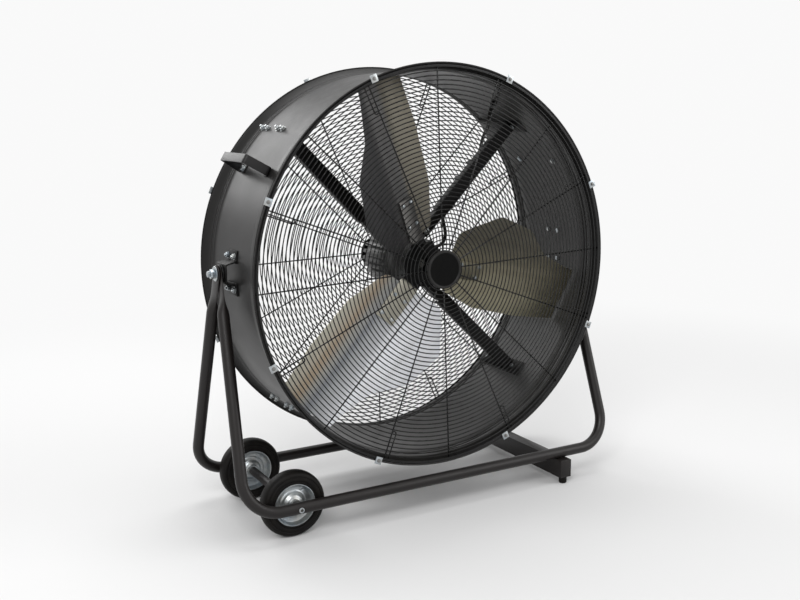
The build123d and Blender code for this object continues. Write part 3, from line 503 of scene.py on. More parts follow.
recipes = {
    "wall": ("drumWallPowder", drumPaint), "cap": ("mouldedBlackCap", glossyCap),
    "plastic": ("mouldedBlackCase", clouded(plasticForm)), "zinc": ("brightZinc", platedZinc),
    "blade": ("topBladePaintedReflections", bladeMetal(108)), "rightBlade": ("rightBladePaintedReflections", bladeMetal(-12)),
    "leftBlade": ("leftBladePaintedReflections", bladeMetal(-132)), "hub": ("hubAndArms", hubAndArms),
    "oiled": ("oiledSteel", clouded(oiledForm)), "screw": ("screwSteel", clouded(screwForm)),
    "rubber": ("tyreRubber", clouded(rubberForm)), "motor": ("motorPaint", castPaint),
    "steel": ("machinedSteel", machinedSteel),
}
for key, (name, *coat) in coats.items():
    recipes[key] = (name, powderPaint(*coat))
finishes = {key: newFinish(*recipe) for key, recipe in recipes.items()}
cadFinishes = {
    "stand_paint": "stand", "drum_paint": "drum", "grille_wire": "wire", "cap_plastic": "cap",
    "zinc": "zinc", "foot_rubber": "rubber", "tyre_rubber": "rubber", "friction_fibre": "plastic",
    "blade_metal": "blade", "motor_metal": "motor", "hub_paint": "drum", "steel": "steel",
    "black_plastic": "plastic", "cable_sheath": "rubber",
}
slotOf = {part["node"]: part["material_slot"] for part in frame["record"]["subparts"]}
bodies = frame["record"]["behaviour"]["bodies"]
bodyOf = {node: body for body, nodes in bodies.items() for node in nodes}
for node, slotName in slotOf.items():
    materials = frame["nodes"][node].data.materials
    materials.clear()
    materials.append(finishes[cadFinishes[slotName]])
print("finishes set on", len(frame["nodes"]), "CAD pieces")


def finishAs(piece, finish, body):
    piece.data.materials.clear()
    piece.data.materials.append(finishes[finish])
    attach(piece, body)


def dress(piece, finish, node):  # for a CAD node: the piece takes the finish and rides on the node's body, and the node is hidden
    finishAs(piece, finish, bodyOf[node])
    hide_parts(node)


def added(name, data):
    thing = bpy.data.objects.new(name, data)
    bpy.context.collection.objects.link(thing)
    return thing


view = {"place": (-1.4456, -2.5147, 1.1199), "turn": (79.2014, 0.4322, -29.5368), "lens": 45.862}
cameraData = bpy.data.cameras.new("camera")
cameraData.lens = view["lens"]
cameraData.sensor_width = 36
camera = added("camera", cameraData)
camera.location = view["place"]
camera.rotation_euler = [math.radians(angle) for angle in view["turn"]]
bpy.context.scene.camera = camera

lamps = [  # name, place, size, watts
    ("keyLamp", (-2.6, -3.2, 3.6), 2.4, 120),
    ("fillLamp", (3.2, -2.6, 2.2), 2.6, 55),
    ("topLamp", (0.2, 0.6, 4.2), 3, 70),
    ("backLamp", (-1.2, 3.6, 2.6), 2.4, 60),
]
lampTarget = Vector((0, 0, 0.6))
for name, place, size, watts in lamps:
    lampData = bpy.data.lights.new(name, "AREA")
    lampData.size = size
    lampData.energy = watts
    lamp = added(name, lampData)
    lamp.location = place
    lamp.rotation_euler = (lampTarget - Vector(place)).to_track_quat("-Z", "Y").to_euler()

stageForm = {"light": 0.42, "seen": 0.95, "grey": 0.8, "radius": 14, "fade": (0.9, 3.2)}


def paleWorld():  # it lights the object softly, and is seen and mirrored paler than it lights
    world = bpy.data.worlds.new("studio")
    bpy.context.scene.world = world
    shade = emptyTree(world)
    rays = ("Is Camera Ray", "Is Glossy Ray", "Is Transmission Ray")
    seen = sum(shade.make("LightPath", out=ray) for ray in rays)
    strength = stageForm["light"] + (stageForm["seen"] - stageForm["light"]) * seen
    background = shade.make("Background", None, {"Color": (1, 1, 1), "Strength": strength})
    shade.make("OutputWorld", None, {"Surface": background})


def paleFloor():  # it takes the shadow near the object and fades into the world farther out
    clearSelection()
    bpy.ops.mesh.primitive_circle_add(vertices=96, radius=stageForm["radius"], fill_type="NGON")
    floor = justAdded("floor")
    material = bpy.data.materials.new("paleFloor")
    shade = emptyTree(material)
    grey = shade.make("BsdfDiffuse", None, {"Color": (stageForm["grey"],) * 3})
    glow = shade.make("Emission", None, {"Color": (1, 1, 1), "Strength": stageForm["seen"]})
    reach = vectorMaths("LENGTH", shade.make("TexCoord", out=3), out=1)
    near, far = stageForm["fade"]
    values = {"Value": reach, "From Min": near, "From Max": far}
    fade = shade.make("MapRange", {"interpolation_type": "SMOOTHSTEP"}, values)
    surface = shade.make("MixShader", None, {0: fade, 1: grey, 2: glow})
    shade.make("OutputMaterial", None, {"Surface": surface})
    floor.data.materials.append(material)


paleWorld()
paleFloor()
bpy.context.scene.view_settings.view_transform = "Standard"
print("camera, lamps and floor")

drumForm = {  # half of the wall, from its middle to a mouth
    "sheet": 0.002, "sides": 192, "smooth": 50, "plain": 0.12, "beadPlaces": (0.146, 0.158),
    "bead": ((-0.004, 0), (-0.002, 0.00154), (0, 0.0022), (0.002, 0.00154), (0.004, 0)),
    "mouth": [  # the flare and its rolled hem
        (0.528, 0.169), (0.5288, 0.174), (0.531, 0.1795), (0.5345, 0.185), (0.5388, 0.1905),
        (0.5428, 0.195), (0.5455, 0.1978), (0.5478, 0.1985), (0.5494, 0.1972), (0.549, 0.1952),
    ],
}


def drumProfile():
    half = [(wallInside, 0), (wallInside, drumForm["plain"])]
    for middle in drumForm["beadPlaces"]:
        half += [(wallInside + rise, middle + step) for step, rise in drumForm["bead"]]
    half += drumForm["mouth"]
    return [(radius, -depth) for radius, depth in reversed(half)] + half[1:]


def makeDrumWall():
    wall = turned("drumWall", drumProfile(), drumForm["sides"], drumForm["smooth"])
    layOn(wall, (0, 0, axisHeight), (0, 1, 0))
    # an open sheet can face either way, so a face in its middle says where the thickness goes
    side = min(wall.data.polygons, key=lambda face: abs(face.center.y))
    outside = side.normal.dot(side.center - Vector((0, side.center.y, axisHeight))) > 0
    offset = 1 if outside else -1
    useModifier(wall, "SOLIDIFY", thickness=drumForm["sheet"], offset=offset, use_even_offset=True)
    dress(smoothed(wall, drumForm["smooth"]), "wall", "drum_shell")


makeDrumWall()
print("drum wall")

grilleForm = {
    "firstRing": 0.058, "pitch": 0.0117, "rings": 42, "ringWire": 0.0016, "ringInset": 0.002,
    "rim": 0.5405, "rimWire": 0.0027, "rimSides": 144, "fewSides": 64, "fewWithin": 0.2, "manySides": 128,
    "spokes": 16, "spokeWire": 0.002, "spokeInset": 0.0056, "spokeStart": 0.046, "spokeEnd": 0.5425,
    "chamfer": 0.0006, "hookGap": 0.013, "hookStart": 0.467,
    "plate": [(0, 0), (0.048, 0), (0.05, 0.0012), (0.05, 0.003), (0, 0.003)],
}


def wireRing(radius, wire, depth, sides):
    clearSelection()
    bpy.ops.mesh.primitive_torus_add(
        location=(0, depth, axisHeight), rotation=(math.pi / 2, 0, 0), major_segments=sides,
        minor_segments=6, major_radius=radius, minor_radius=wire)
    return bakePlace(bpy.context.object)


def spokeWire(start, across, depth):  # along +X, out to the rim
    end = grilleForm["spokeEnd"]
    clearSelection()
    bpy.ops.mesh.primitive_cylinder_add(
        vertices=8, radius=grilleForm["spokeWire"], depth=end - start, rotation=(0, math.pi / 2, 0),
        location=((start + end) / 2, depth, axisHeight + across))
    spoke = justAdded("spoke")
    openMesh()
    bpy.ops.mesh.bevel(offset=grilleForm["chamfer"], segments=1, affect="EDGES")
    closeMesh()
    return bakePlace(spoke)


def hookWire(depth):  # a second wire beside a clip's spoke, bent back onto it at its inner end
    start, gap = grilleForm["hookStart"], grilleForm["hookGap"]
    leg = spokeWire(start, gap, depth)
    clearSelection()
    bpy.ops.mesh.primitive_circle_add(
        vertices=8, radius=grilleForm["spokeWire"], rotation=(0, math.pi / 2, 0),
        location=(start, depth, axisHeight + gap))
    bend = justAdded("bend")
    openMesh()
    bpy.ops.mesh.spin(
        steps=10, angle=math.pi, center=(start, depth, axisHeight + gap / 2), axis=(0, 1, 0))
    selectAll()
    bpy.ops.mesh.fill_holes(sides=0)
    faceOut()
    closeMesh()
    return joinAll("hook", [leg, bakePlace(bend)])


def makeGrille(end, side, turn):
    ringDepth = side * (halfDepth - grilleForm["ringInset"])
    spokeDepth = side * (halfDepth - grilleForm["spokeInset"])
    pieces = []
    for index in range(grilleForm["rings"]):
        radius = grilleForm["firstRing"] + index * grilleForm["pitch"]
        sides = grilleForm["fewSides" if radius < grilleForm["fewWithin"] else "manySides"]
        pieces.append(wireRing(radius, grilleForm["ringWire"], ringDepth, sides))
    rimWire = grilleForm["rimWire"]
    pieces.append(wireRing(grilleForm["rim"], rimWire, side * (halfDepth - rimWire), grilleForm["rimSides"]))
    spoke = spokeWire(grilleForm["spokeStart"], 0, spokeDepth)
    hook = hookWire(spokeDepth)
    for index in range(grilleForm["spokes"]):
        degrees = turn + index * 360 / grilleForm["spokes"]
        pieces.append(turnAbout(twin(spoke, "copy"), degrees))
        if index % 2:
            pieces.append(turnAbout(twin(hook, "copy"), degrees))
    bpy.data.objects.remove(spoke)
    bpy.data.objects.remove(hook)
    plate = turned("plate", grilleForm["plate"], 48)
    pieces.append(layOn(plate, (0, spokeDepth, axisHeight), (0, -side, 0)))
    dress(smoothed(joinAll(end + "WireGuard", pieces), 50), "wire", end + "_grille")


makeGrille("front", -1, 2)
makeGrille("rear", 1, 1)

capForm = {  # a bare disc with a raised, rounded edge
    "seat": 0.004, "profile": [
        (0, 0), (0.0515, 0), (0.053, 0.0015), (0.053, 0.0062), (0.0522, 0.0078),
        (0.0505, 0.0088), (0.0485, 0.009), (0.047, 0.0084), (0.046, 0.007), (0.0452, 0.0064),
        (0.043, 0.0062), (0.02, 0.0068), (0, 0.007),
    ],
}
cap = turned("guardCap", capForm["profile"], 96, 40)
dress(layOn(cap, (0, capForm["seat"] - halfDepth, axisHeight), (0, -1, 0)), "cap", "grille_cap")
print("wire guards")

clipForm = {
    "count": 8, "turn": 22.5, "radius": 0.546, "side": 0.02, "plate": 0.002, "edge": 0.0007,
    "flange": [(0, 0), (0.0054, 0), (0.0054, 0.0006), (0.0048, 0.001), (0, 0.001)],
    "flats": 0.008, "head": 0.003, "chamfer": 0.0006,
}


def toRim(piece, side):  # from the rim's own face to the front or the rear mouth
    if side < 0:
        placed(piece, Matrix.Rotation(math.pi, 4, "X"))
    return movedTo(piece, (0, side * halfDepth, axisHeight))


def oneClip(side):
    half = clipForm["side"] / 2
    low = (clipForm["radius"] - half, 0, -half)
    high = (clipForm["radius"] + half, clipForm["plate"], half)
    return toRim(softBox("clip", low, high, clipForm["edge"], 2), side)


def oneScrew(side):
    flange = turned("flange", clipForm["flange"], 24)
    seat = clipForm["plate"] + clipForm["flange"][-1][1]
    head = hexHead("head", clipForm["flats"], clipForm["head"], clipForm["chamfer"])
    layOn(flange, (clipForm["radius"], clipForm["plate"], 0), (0, 1, 0))
    layOn(head, (clipForm["radius"], seat, 0), (0, 1, 0))
    return toRim(joinAll("screw", [flange, head]), side)


def roundTheRim(first):
    angles = [clipForm["turn"] + index * 360 / clipForm["count"] for index in range(clipForm["count"])]
    pieces = [turnAbout(twin(first, "copy"), degrees) for degrees in angles]
    bpy.data.objects.remove(first)
    return pieces


for end, side in ends:
    dress(joinAll(end + "Clips", roundTheRim(oneClip(side))), "zinc", end + "_clips")
screws = roundTheRim(oneScrew(-1)) + roundTheRim(oneScrew(1))
dress(joinAll("clipScrews", screws), "screw", "clip_screws")
print("clips")

tubeForm = {  # tubes bent to a U, pressed flat and rounded at the tilt bolts
    "tabs": {"front": 0.567, "rear": 0.5733},  # where each leg's flat tab stands beside the drum
    "radius": 0.0158, "sides": 32, "barHalf": 0.5922, "barDepth": 0.197, "barHeight": 0.09,
    "corner": 0.095, "bendSteps": 14, "pressStart": 0.112, "pressEnd": 0.06, "pressSteps": 6,
    "tabWide": 0.0225, "tabThin": 0.003, "tipSteps": 7, "tipLeast": 0.12,
}


def scaleRing(tube, axes, thin, wide):
    # scales the selected ring about its own middle, in the leg's own directions
    tube.update_from_editmode()
    points = [vertex.co for vertex in tube.data.vertices if vertex.select]
    middle = tube.matrix_world @ (sum(points, Vector()) / len(points))
    bpy.ops.transform.resize(
        value=(thin, wide, 1), orient_matrix=axes, orient_type="GLOBAL", orient_matrix_type="GLOBAL",
        center_override=middle)


def pressTab(tube, direction):  # from the round tube to the flat tab, its last part and its round top
    axes = Matrix(((direction.z, 0, -direction.x), (0, 1, 0), direction))  # thin, wide, along the leg
    thin = tubeForm["tabThin"] / tubeForm["radius"]
    wide = tubeForm["tabWide"] / tubeForm["radius"]
    steps = tubeForm["pressSteps"]
    before = (1, 1)
    for step in range(1, steps + 1):
        part = step / steps
        ease = part * part * (3 - 2 * part)
        now = (1 + (thin - 1) * ease, 1 + (wide - 1) * ease)
        extrudeBy(direction * ((tubeForm["pressStart"] - tubeForm["pressEnd"]) / steps))
        scaleRing(tube, axes, now[0] / before[0], now[1] / before[1])
        before = now
    extrudeBy(direction * tubeForm["pressEnd"])
    wedge = math.pi / 2 / tubeForm["tipSteps"]
    last = 1
    for step in range(1, tubeForm["tipSteps"] + 1):
        angle = step * wedge
        width = max(math.cos(angle), tubeForm["tipLeast"])
        climb = tubeForm["tabWide"] * (math.sin(angle) - math.sin(angle - wedge))
        extrudeBy(direction * climb)
        scaleRing(tube, axes, 1, width / last)
        last = width
    bpy.ops.mesh.edge_face_add()


def makeTubeFrame(end, side):
    # drawn flat in the XZ plane with its bar on Z = 0, then leaned onto its slope
    lift = pivotHeight - tubeForm["barHeight"]
    rise = math.hypot(tubeForm["barDepth"], lift)
    run = tubeForm["barHalf"] - tubeForm["tabs"][end]
    slope = math.atan(run / rise)
    bend = math.pi / 2 + slope
    setback = tubeForm["corner"] * math.tan(bend / 2)
    straight = tubeForm["barHalf"] - setback
    direction = Vector((-math.sin(slope), 0, math.cos(slope)))
    clearSelection()
    bpy.ops.mesh.primitive_circle_add(
        vertices=tubeForm["sides"], radius=tubeForm["radius"], rotation=(0, math.pi / 2, 0))
    tube = justAdded(end + "TubeFrame")
    openMesh()
    extrudeBy((straight, 0, 0))
    bpy.ops.mesh.spin(
        steps=tubeForm["bendSteps"], angle=bend, center=(straight, 0, tubeForm["corner"]), axis=(0, 1, 0))
    extrudeBy(direction * (math.hypot(rise, run) - tubeForm["pressStart"] - setback))
    pressTab(tube, direction)
    closeMesh()
    bakePlace(tube)
    useModifier(tube, "MIRROR", use_axis=(True, False, False), merge_threshold=1e-4)
    openMesh()
    bpy.ops.mesh.remove_doubles(threshold=1e-5)
    faceOut()
    closeMesh()
    smoothed(tube, 45)
    lean = Matrix.Rotation(math.atan2(side * tubeForm["barDepth"], lift), 4, "X")
    placed(tube, Matrix.Translation((0, side * tubeForm["barDepth"], tubeForm["barHeight"])) @ lean)
    dress(tube, "stand", end + "_frame")


for end, side in ends:
    makeTubeFrame(end, side)
print("tube frames")

wheelForm = {
    "offset": -0.444, "height": 0.09, "centre": 0.152,
    "tyre": [  # half of it, from the rim's seat over the ribbed side to the tread's middle
        (0.057, -0.019), (0.058, -0.0208), (0.0594, -0.0214), (0.0612, -0.0214), (0.0622, -0.0202),
        (0.0634, -0.02), (0.0648, -0.0219), (0.0676, -0.0229), (0.0708, -0.023), (0.0734, -0.0223),
        (0.0746, -0.0206), (0.076, -0.0202), (0.0776, -0.0212), (0.0798, -0.0211), (0.0825, -0.02),
        (0.085, -0.0182), (0.0874, -0.0148), (0.089, -0.0105), (0.0898, -0.0055), (0.09, 0),
    ],
    "rim": [  # half of the pressed rim, from its middle out to the lip and down to the hub
        (0.057, 0), (0.057, 0.0195), (0.0576, 0.0215), (0.0572, 0.0228), (0.0556, 0.023),
        (0.0545, 0.0218), (0.0535, 0.018), (0.052, 0.013), (0.0498, 0.01), (0.047, 0.0092),
        (0.0395, 0.0098), (0.038, 0.011), (0.0345, 0.0118), (0.033, 0.0108), (0.029, 0.011),
        (0.0265, 0.0135), (0.024, 0.017), (0.0215, 0.0185), (0.0185, 0.0192), (0.0165, 0.0205),
        (0.0158, 0.0245), (0.015, 0.0256), (0.012, 0.026), (0.0066, 0.026), (0.0062, 0.025),
        (0.0062, 0),
    ],
    "dimple": [(0, 0.0006), (0.003, 0.001), (0.005, 0.0018), (0.0062, 0.0014), (0.007, 0), (0, 0)],
    "dimpleReach": 0.0435, "dimpleTurns": (35, 215), "dimpleSeat": 0.0092,
}


def onAxle(piece, depth, towards):
    return layOn(piece, (wheelForm["offset"], depth, wheelForm["height"]), (0, towards, 0))


def bothHalves(half):
    return half + [(radius, -level) for radius, level in reversed(half[:-1])]


def makeWheel(end, side):
    depth = side * wheelForm["centre"]
    tyre = turned(end + "wheelTyre", bothHalves(wheelForm["tyre"]) + wheelForm["tyre"][:1], 96, 30)
    dress(onAxle(tyre, depth, side), "rubber", end + "_tyre")
    pieces = [onAxle(turned("rim", bothHalves(wheelForm["rim"]), 80, 32), depth, side)]
    for face in (-side, side):  # two pressed dimples in each face
        for degrees in wheelForm["dimpleTurns"]:
            angle = math.radians(degrees)
            across = Vector((math.sin(angle), 0, math.cos(angle))) * wheelForm["dimpleReach"]
            dimple = turned("dimple", wheelForm["dimple"], 24)
            pieces.append(movedTo(onAxle(dimple, depth + face * wheelForm["dimpleSeat"], face), across))
    dress(joinAll(end + "wheelRim", pieces), "zinc", end + "_wheel_rim")


for end, side in ends:
    makeWheel(end, side)

axleForm = {
    "spacer": [(0.0063, -0.1257), (0.012, -0.1257), (0.012, 0.1257), (0.0063, 0.1257), (0.0063, -0.1257)],
    "cap": [
        (0, 0), (0.0075, 0), (0.0075, 0.0018), (0.0068, 0.003), (0.0056, 0.0035), (0.0046, 0.0032),
        (0.0043, 0.001), (0, 0.0008),
    ],
    "tip": [(0, 0.0008), (0.0042, 0.0008), (0.0041, 0.0013), (0.003, 0.0015), (0, 0.0015)],
}


def makeAxle():
    spacer = turned("axleSpacer", axleForm["spacer"], 40)
    dress(onAxle(spacer, 0, 1), "stand", "axle_spacer")
    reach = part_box("axle_rod")[1][1]
    caps = [onAxle(turned("cap", axleForm["cap"], 36, 30), side * reach, side) for side in (-1, 1)]
    dress(joinAll("axleEnds", caps), "zinc", "axle_caps")
    tips = [onAxle(turned("tip", axleForm["tip"], 32), side * reach, side) for side in (-1, 1)]
    finishAs(joinAll("rodEnds", tips), "oiled", "stand")


makeAxle()

footForm = {
    "x": 0.413, "y": 0.213,
    "profile": [(0, 0.02), (0.0118, 0.02), (0.012, 0.004), (0.0112, 0.0012), (0.0098, 0), (0, 0)],
}
feet = []
for side in (-1, 1):
    foot = turned("foot", footForm["profile"], 40)
    feet.append(movedTo(foot, (footForm["x"], side * footForm["y"], 0)))
dress(joinAll("floorFeet", feet), "rubber", "rubber_feet")

plateForm = {"gap": 0.0031, "inset": 0.0008, "sheet": 0.003, "edge": 0.0007}


def makeEndPlates():  # they close the cross foot's two ends
    low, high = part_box("cross_foot")
    gap = plateForm["gap"]
    plates = []
    for side in (-1, 1):
        outer = side * (high[1] - plateForm["inset"])
        depths = sorted((outer, outer - side * plateForm["sheet"]))
        near = (low[0] + gap, depths[0], low[2] + gap)
        far = (high[0] - gap, depths[1], high[2] - gap)
        plates.append(softBox("plate", near, far, plateForm["edge"], 2))
    finishAs(joinAll("footEndPlates", plates), "stand", "stand")


makeEndPlates()
print("wheels and feet")

tiltForm = {
    "bolt": 0.0078, "flats": 0.023, "head": 0.009, "headChamfer": 0.0012, "nut": 0.0125,
    "nutChamfer": 0.0014, "crown": 0.003, "overlap": 0.002, "discSheet": 0.004, "washerSheet": 0.003,
    "disc": [
        (0.0081, 0), (0.0236, 0), (0.024, 0.0006), (0.024, 0.0034), (0.0236, 0.004),
        (0.0081, 0.004), (0.0081, 0),
    ],
    "washer": [
        (0.0081, 0), (0.0196, 0), (0.02, 0.0006), (0.02, 0.0024), (0.0194, 0.003),
        (0.0081, 0.003), (0.0081, 0),
    ],
}


def makeTiltJoints():
    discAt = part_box("friction_discs")[1][0] - tiltForm["discSheet"]
    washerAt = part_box("pivot_washers")[1][0] - tiltForm["washerSheet"]
    nutAt = washerAt + tiltForm["washerSheet"]
    headAt = discAt - tiltForm["crown"] - tiltForm["head"]  # inside the bracket's crown
    shankLength = nutAt - headAt + tiltForm["overlap"]
    shank = [(0, 0), (tiltForm["bolt"], 0), (tiltForm["bolt"], shankLength), (0, shankLength)]
    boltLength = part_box("pivot_bolts")[1][0] - nutAt
    discs, washers, nuts, bolts = [], [], [], []

    def put(group, piece, offset):
        group.append(layOn(piece, (hand * offset, 0, pivotHeight), (hand, 0, 0)))

    for hand in (-1, 1):
        put(discs, turned("disc", tiltForm["disc"], 64), discAt)
        put(washers, turned("washer", tiltForm["washer"], 64), washerAt)
        put(nuts, hexHead("nut", tiltForm["flats"], tiltForm["nut"], tiltForm["nutChamfer"]), nutAt)
        put(bolts, turned("shank", shank, 32), headAt)
        put(bolts, studEnd("bolt", tiltForm["bolt"], boltLength), nutAt)
        put(bolts, hexHead("head", tiltForm["flats"], tiltForm["head"], tiltForm["headChamfer"]), headAt)
    dress(joinAll("tiltDiscs", discs), "plastic", "friction_discs")
    dress(joinAll("tiltWashers", washers), "zinc", "pivot_washers")
    dress(joinAll("tiltNuts", nuts), "zinc", "pivot_nuts")
    dress(joinAll("tiltBolts", bolts), "zinc", "pivot_bolts")


makeTiltJoints()


def spotsOf(form):
    return [(degrees, depth) for degrees in form["angles"] for depth in form["depths"]]


def throughWall(spots, outer, outside, inner, inside):
    # at each angle and depth one piece stands outside the wall and the other inside it
    outerPlaces = [(polar(outside, degrees, depth), outward(degrees)) for degrees, depth in spots]
    innerPlaces = [(polar(inside, degrees, depth), -outward(degrees)) for degrees, depth in spots]
    return copiesAt(outer, outerPlaces), copiesAt(inner, innerPlaces)


strutForm = {
    "angles": (45.5, 134.5, 226, 316), "depths": (0.005, 0.039, 0.109, 0.143), "halfWidth": 0.024,
    "sheet": 0.003, "flats": 0.013, "nut": 0.0058, "stud": 0.013, "head": 0.0052,
}


def makeStrutBolts():
    stud = wallBolt("strutStuds", strutForm)
    head = hexHead("strutHeads", strutForm["flats"], strutForm["head"])
    seat = math.sqrt(wallInside ** 2 - strutForm["halfWidth"] ** 2) - seatGap - strutForm["sheet"]
    studs, heads = throughWall(spotsOf(strutForm), stud, wallRadius + seatGap, head, seat)
    dress(studs, "zinc", "strut_nuts")
    dress(heads, "zinc", "strut_bolts")


makeStrutBolts()

bracketForm = {
    "rises": (-0.044, 0.044), "depths": (-0.0225, 0.0225), "sheet": 0.003, "flats": 0.013,
    "nut": 0.0058, "stud": 0.011, "head": 0.005,
}


def makeBracketBolts():
    radius = wallRadius + seatGap + bracketForm["sheet"]
    spots = []
    for rise in bracketForm["rises"]:
        angle = math.degrees(math.asin((pivotHeight - axisHeight + rise) / radius))
        spots += [(degrees, depth) for degrees in (180 - angle, angle) for depth in bracketForm["depths"]]
    stud = wallBolt("studs", bracketForm)
    head = hexHead("heads", bracketForm["flats"], bracketForm["head"])
    pieces = throughWall(spots, stud, radius + seatGap, head, wallInside)
    dress(joinAll("bracketBolts", pieces), "zinc", "bracket_bolts")


makeBracketBolts()
print("bolts and studs")

bellProfile = [  # the cast end cover, from its flange to its nose
    (0.0126, 0), (0.07, 0), (0.07, 0.004), (0.066, 0.0044), (0.0652, 0.0056), (0.0648, 0.009),
    (0.0635, 0.0125), (0.06, 0.0165), (0.0545, 0.0195), (0.046, 0.0218), (0.038, 0.0234),
    (0.034, 0.024), (0.033, 0.0256), (0.031, 0.026), (0.02, 0.026), (0.0135, 0.026),
    (0.0135, 0.005), (0.0126, 0),
]
for end, side in ends:
    low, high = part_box(end + "_bell")
    base = high[1] if side < 0 else low[1]
    bell = layOn(turned(end + "Bell", bellProfile, 72, 32), (0, base, axisHeight), (0, side, 0))
    dress(bell, "motor", end + "_bell")

softenedPieces = [  # node, name, edge, finish: folded and cast pieces, only rounded
    ("cross_foot", "crossFoot", 0.0012, "stand"),
    ("left_trunnion_bracket", "leftBracket", 0.0009, "brace"),
    ("right_trunnion_bracket", "rightBracket", 0.0009, "brace"),
    ("left_handle", "leftHandle", 0.0007, "drum"), ("right_handle", "rightHandle", 0.0007, "drum"),
    ("upper_right_strut", "upperRightStrut", 0.0006, "brace"),
    ("upper_left_strut", "upperLeftStrut", 0.0006, "brace"),
    ("lower_left_strut", "lowerLeftStrut", 0.0006, "brace"),
    ("lower_right_strut", "lowerRightStrut", 0.0006, "brace"),
    ("motor_housing", "finnedBarrel", 0.0006, "motor"), ("hub_spider", "hubSpider", 0.0007, "hub"),
    ("blade_1", "bladeOne", 0.0004, "blade"), ("blade_2", "bladeTwo", 0.0004, "rightBlade"),
    ("blade_3", "bladeThree", 0.0004, "leftBlade"), ("cable_clips", "leadClips", 0.0005, "plastic"),
    ("terminal_box", "terminalBox", 0.002, "plastic"), ("switch_box", "switchBox", 0.001, "plastic"),
]
for node, name, edge, finish in softenedPieces:
    smooth = 3 if name.startswith("blade") else 40  # the blades' folds stay crisp
    dress(softened(node, name, edge, smooth), finish, node)
print("rounded edges")

lugForm = {"radius": 0.109, "depth": 0.02, "flats": 0.013, "head": 0.0055}
lugBolt = flangedHead("lugBolts", lugForm["flats"], lugForm["head"])
lugSpots = [polar(lugForm["radius"], degrees, lugForm["depth"]) for degrees in strutForm["angles"]]
dress(copiesAt(lugBolt, [(spot, (0, -1, 0)) for spot in lugSpots]), "zinc", "motor_bolts")

gripForm = {
    "angles": (31, 149), "depths": (-0.082, 0.082), "outside": 0.5333, "inside": 0.5278,
    "flats": 0.013, "head": 0.007, "nutFlats": 0.012, "nut": 0.0045,
}
gripBolt = flangedHead("gripBolts", gripForm["flats"], gripForm["head"])
gripNut = flangedHead("gripNuts", gripForm["nutFlats"], gripForm["nut"])
gripBolts, gripNuts = throughWall(
    spotsOf(gripForm), gripBolt, gripForm["outside"], gripNut, gripForm["inside"])
dress(gripBolts, "zinc", "handle_bolts")
finishAs(gripNuts, "zinc", "drum")

bladeForm = {
    "first": 108, "reaches": (0.118, 0.18), "across": (-0.016, 0.016), "depth": -0.0953, "lean": 21,
    "flats": 0.0095, "head": 0.005, "flange": 0.6,
}


def makeBladeBolts():
    lean = math.radians(bladeForm["lean"])
    normal = Vector((0, -math.cos(lean), -math.sin(lean)))
    places = []
    for blade in range(3):
        turn = Matrix.Rotation(math.radians(120 * blade - bladeForm["first"]), 4, "Y")
        for reach in bladeForm["reaches"]:
            for across in bladeForm["across"]:
                spot = Vector((reach, bladeForm["depth"] - across * math.tan(lean), across))
                places.append((turn @ spot + Vector((0, 0, axisHeight)), turn @ normal))
    first = flangedHead("bladeHeads", bladeForm["flats"], bladeForm["head"], bladeForm["flange"])
    dress(copiesAt(first, places), "zinc", "blade_bolts")


makeBladeBolts()

hubForm = {"depth": -0.073, "flats": 0.019, "head": 0.009}
hubHead = flangedHead("hubHead", hubForm["flats"], hubForm["head"])
dress(layOn(hubHead, (0, hubForm["depth"], axisHeight), (0, -1, 0)), "oiled", "hub_bolt")
print("bolts on hub, blades and handles")


def cornerScrews(profile, middle, acrossY, acrossZ):
    pieces = []
    for y in (-acrossY, acrossY):
        for z in (-acrossZ, acrossZ):
            spot = (middle[0], middle[1] + y, middle[2] + z)
            pieces.append(layOn(turned("screw", profile, 20), spot, (1, 0, 0)))
    return pieces


boxForm = {  # built above the drum's +X side, then turned to its own angle
    "turn": 57.5, "base": 0.5303, "height": 0.044, "length": 0.092, "width": 0.07, "lid": 0.003,
    "lidEdge": 0.001, "screwDepth": 0.039, "screwAcross": 0.028, "screwSunk": 0.0002,
    "screw": [(0, -0.0001), (0.003, -0.0001), (0.003, 0), (0.0026, 0.0002), (0, 0.0002)],
}


def makeLid():
    low = (boxForm["base"] + boxForm["height"], -boxForm["length"] / 2, axisHeight - boxForm["width"] / 2)
    high = (low[0] + boxForm["lid"], boxForm["length"] / 2, axisHeight + boxForm["width"] / 2)
    middle = (high[0] - boxForm["screwSunk"], 0, axisHeight)
    screws = cornerScrews(boxForm["screw"], middle, boxForm["screwDepth"], boxForm["screwAcross"])
    pieces = [softBox("lid", low, high, boxForm["lidEdge"])] + screws
    lid = turnAbout(joinAll("switchLid", pieces), boxForm["turn"])
    dress(lid, "plastic", "switch_lid")


makeLid()

knobForm = {
    "across": 0.016, "gap": 0.0003,
    "skirt": [(0, 0), (0.015, 0), (0.015, 0.0022), (0.0146, 0.003), (0.013, 0.006), (0, 0.006)],
    "stem": [(0, -0.009), (0.0048, -0.009), (0.0048, 0), (0, 0)],
    "grip": ((-0.0128, -0.0034, 0.0058), (0.0128, 0.0034, 0.0178), 0.0014, 3),
    "pointer": ((0.004, -0.0006, 0.0174), (0.012, 0.0006, 0.018), 0.0002, 1),
}


def makeKnob():
    skirt = turned("skirt", knobForm["skirt"], 48)
    grip = softBox("grip", *knobForm["grip"])
    pointer = softBox("pointer", *knobForm["pointer"])
    knob = joinAll("switchKnobTop", [skirt, grip, pointer, turned("stem", knobForm["stem"], 24)])
    depth = boxForm["length"] / 2 + knobForm["gap"]
    place = (boxForm["base"] + boxForm["height"] / 2, depth, axisHeight + knobForm["across"])
    turnAbout(layOn(knob, place, (0, 1, 0)), boxForm["turn"])
    dress(knob, "plastic", "switch_knob")


makeKnob()

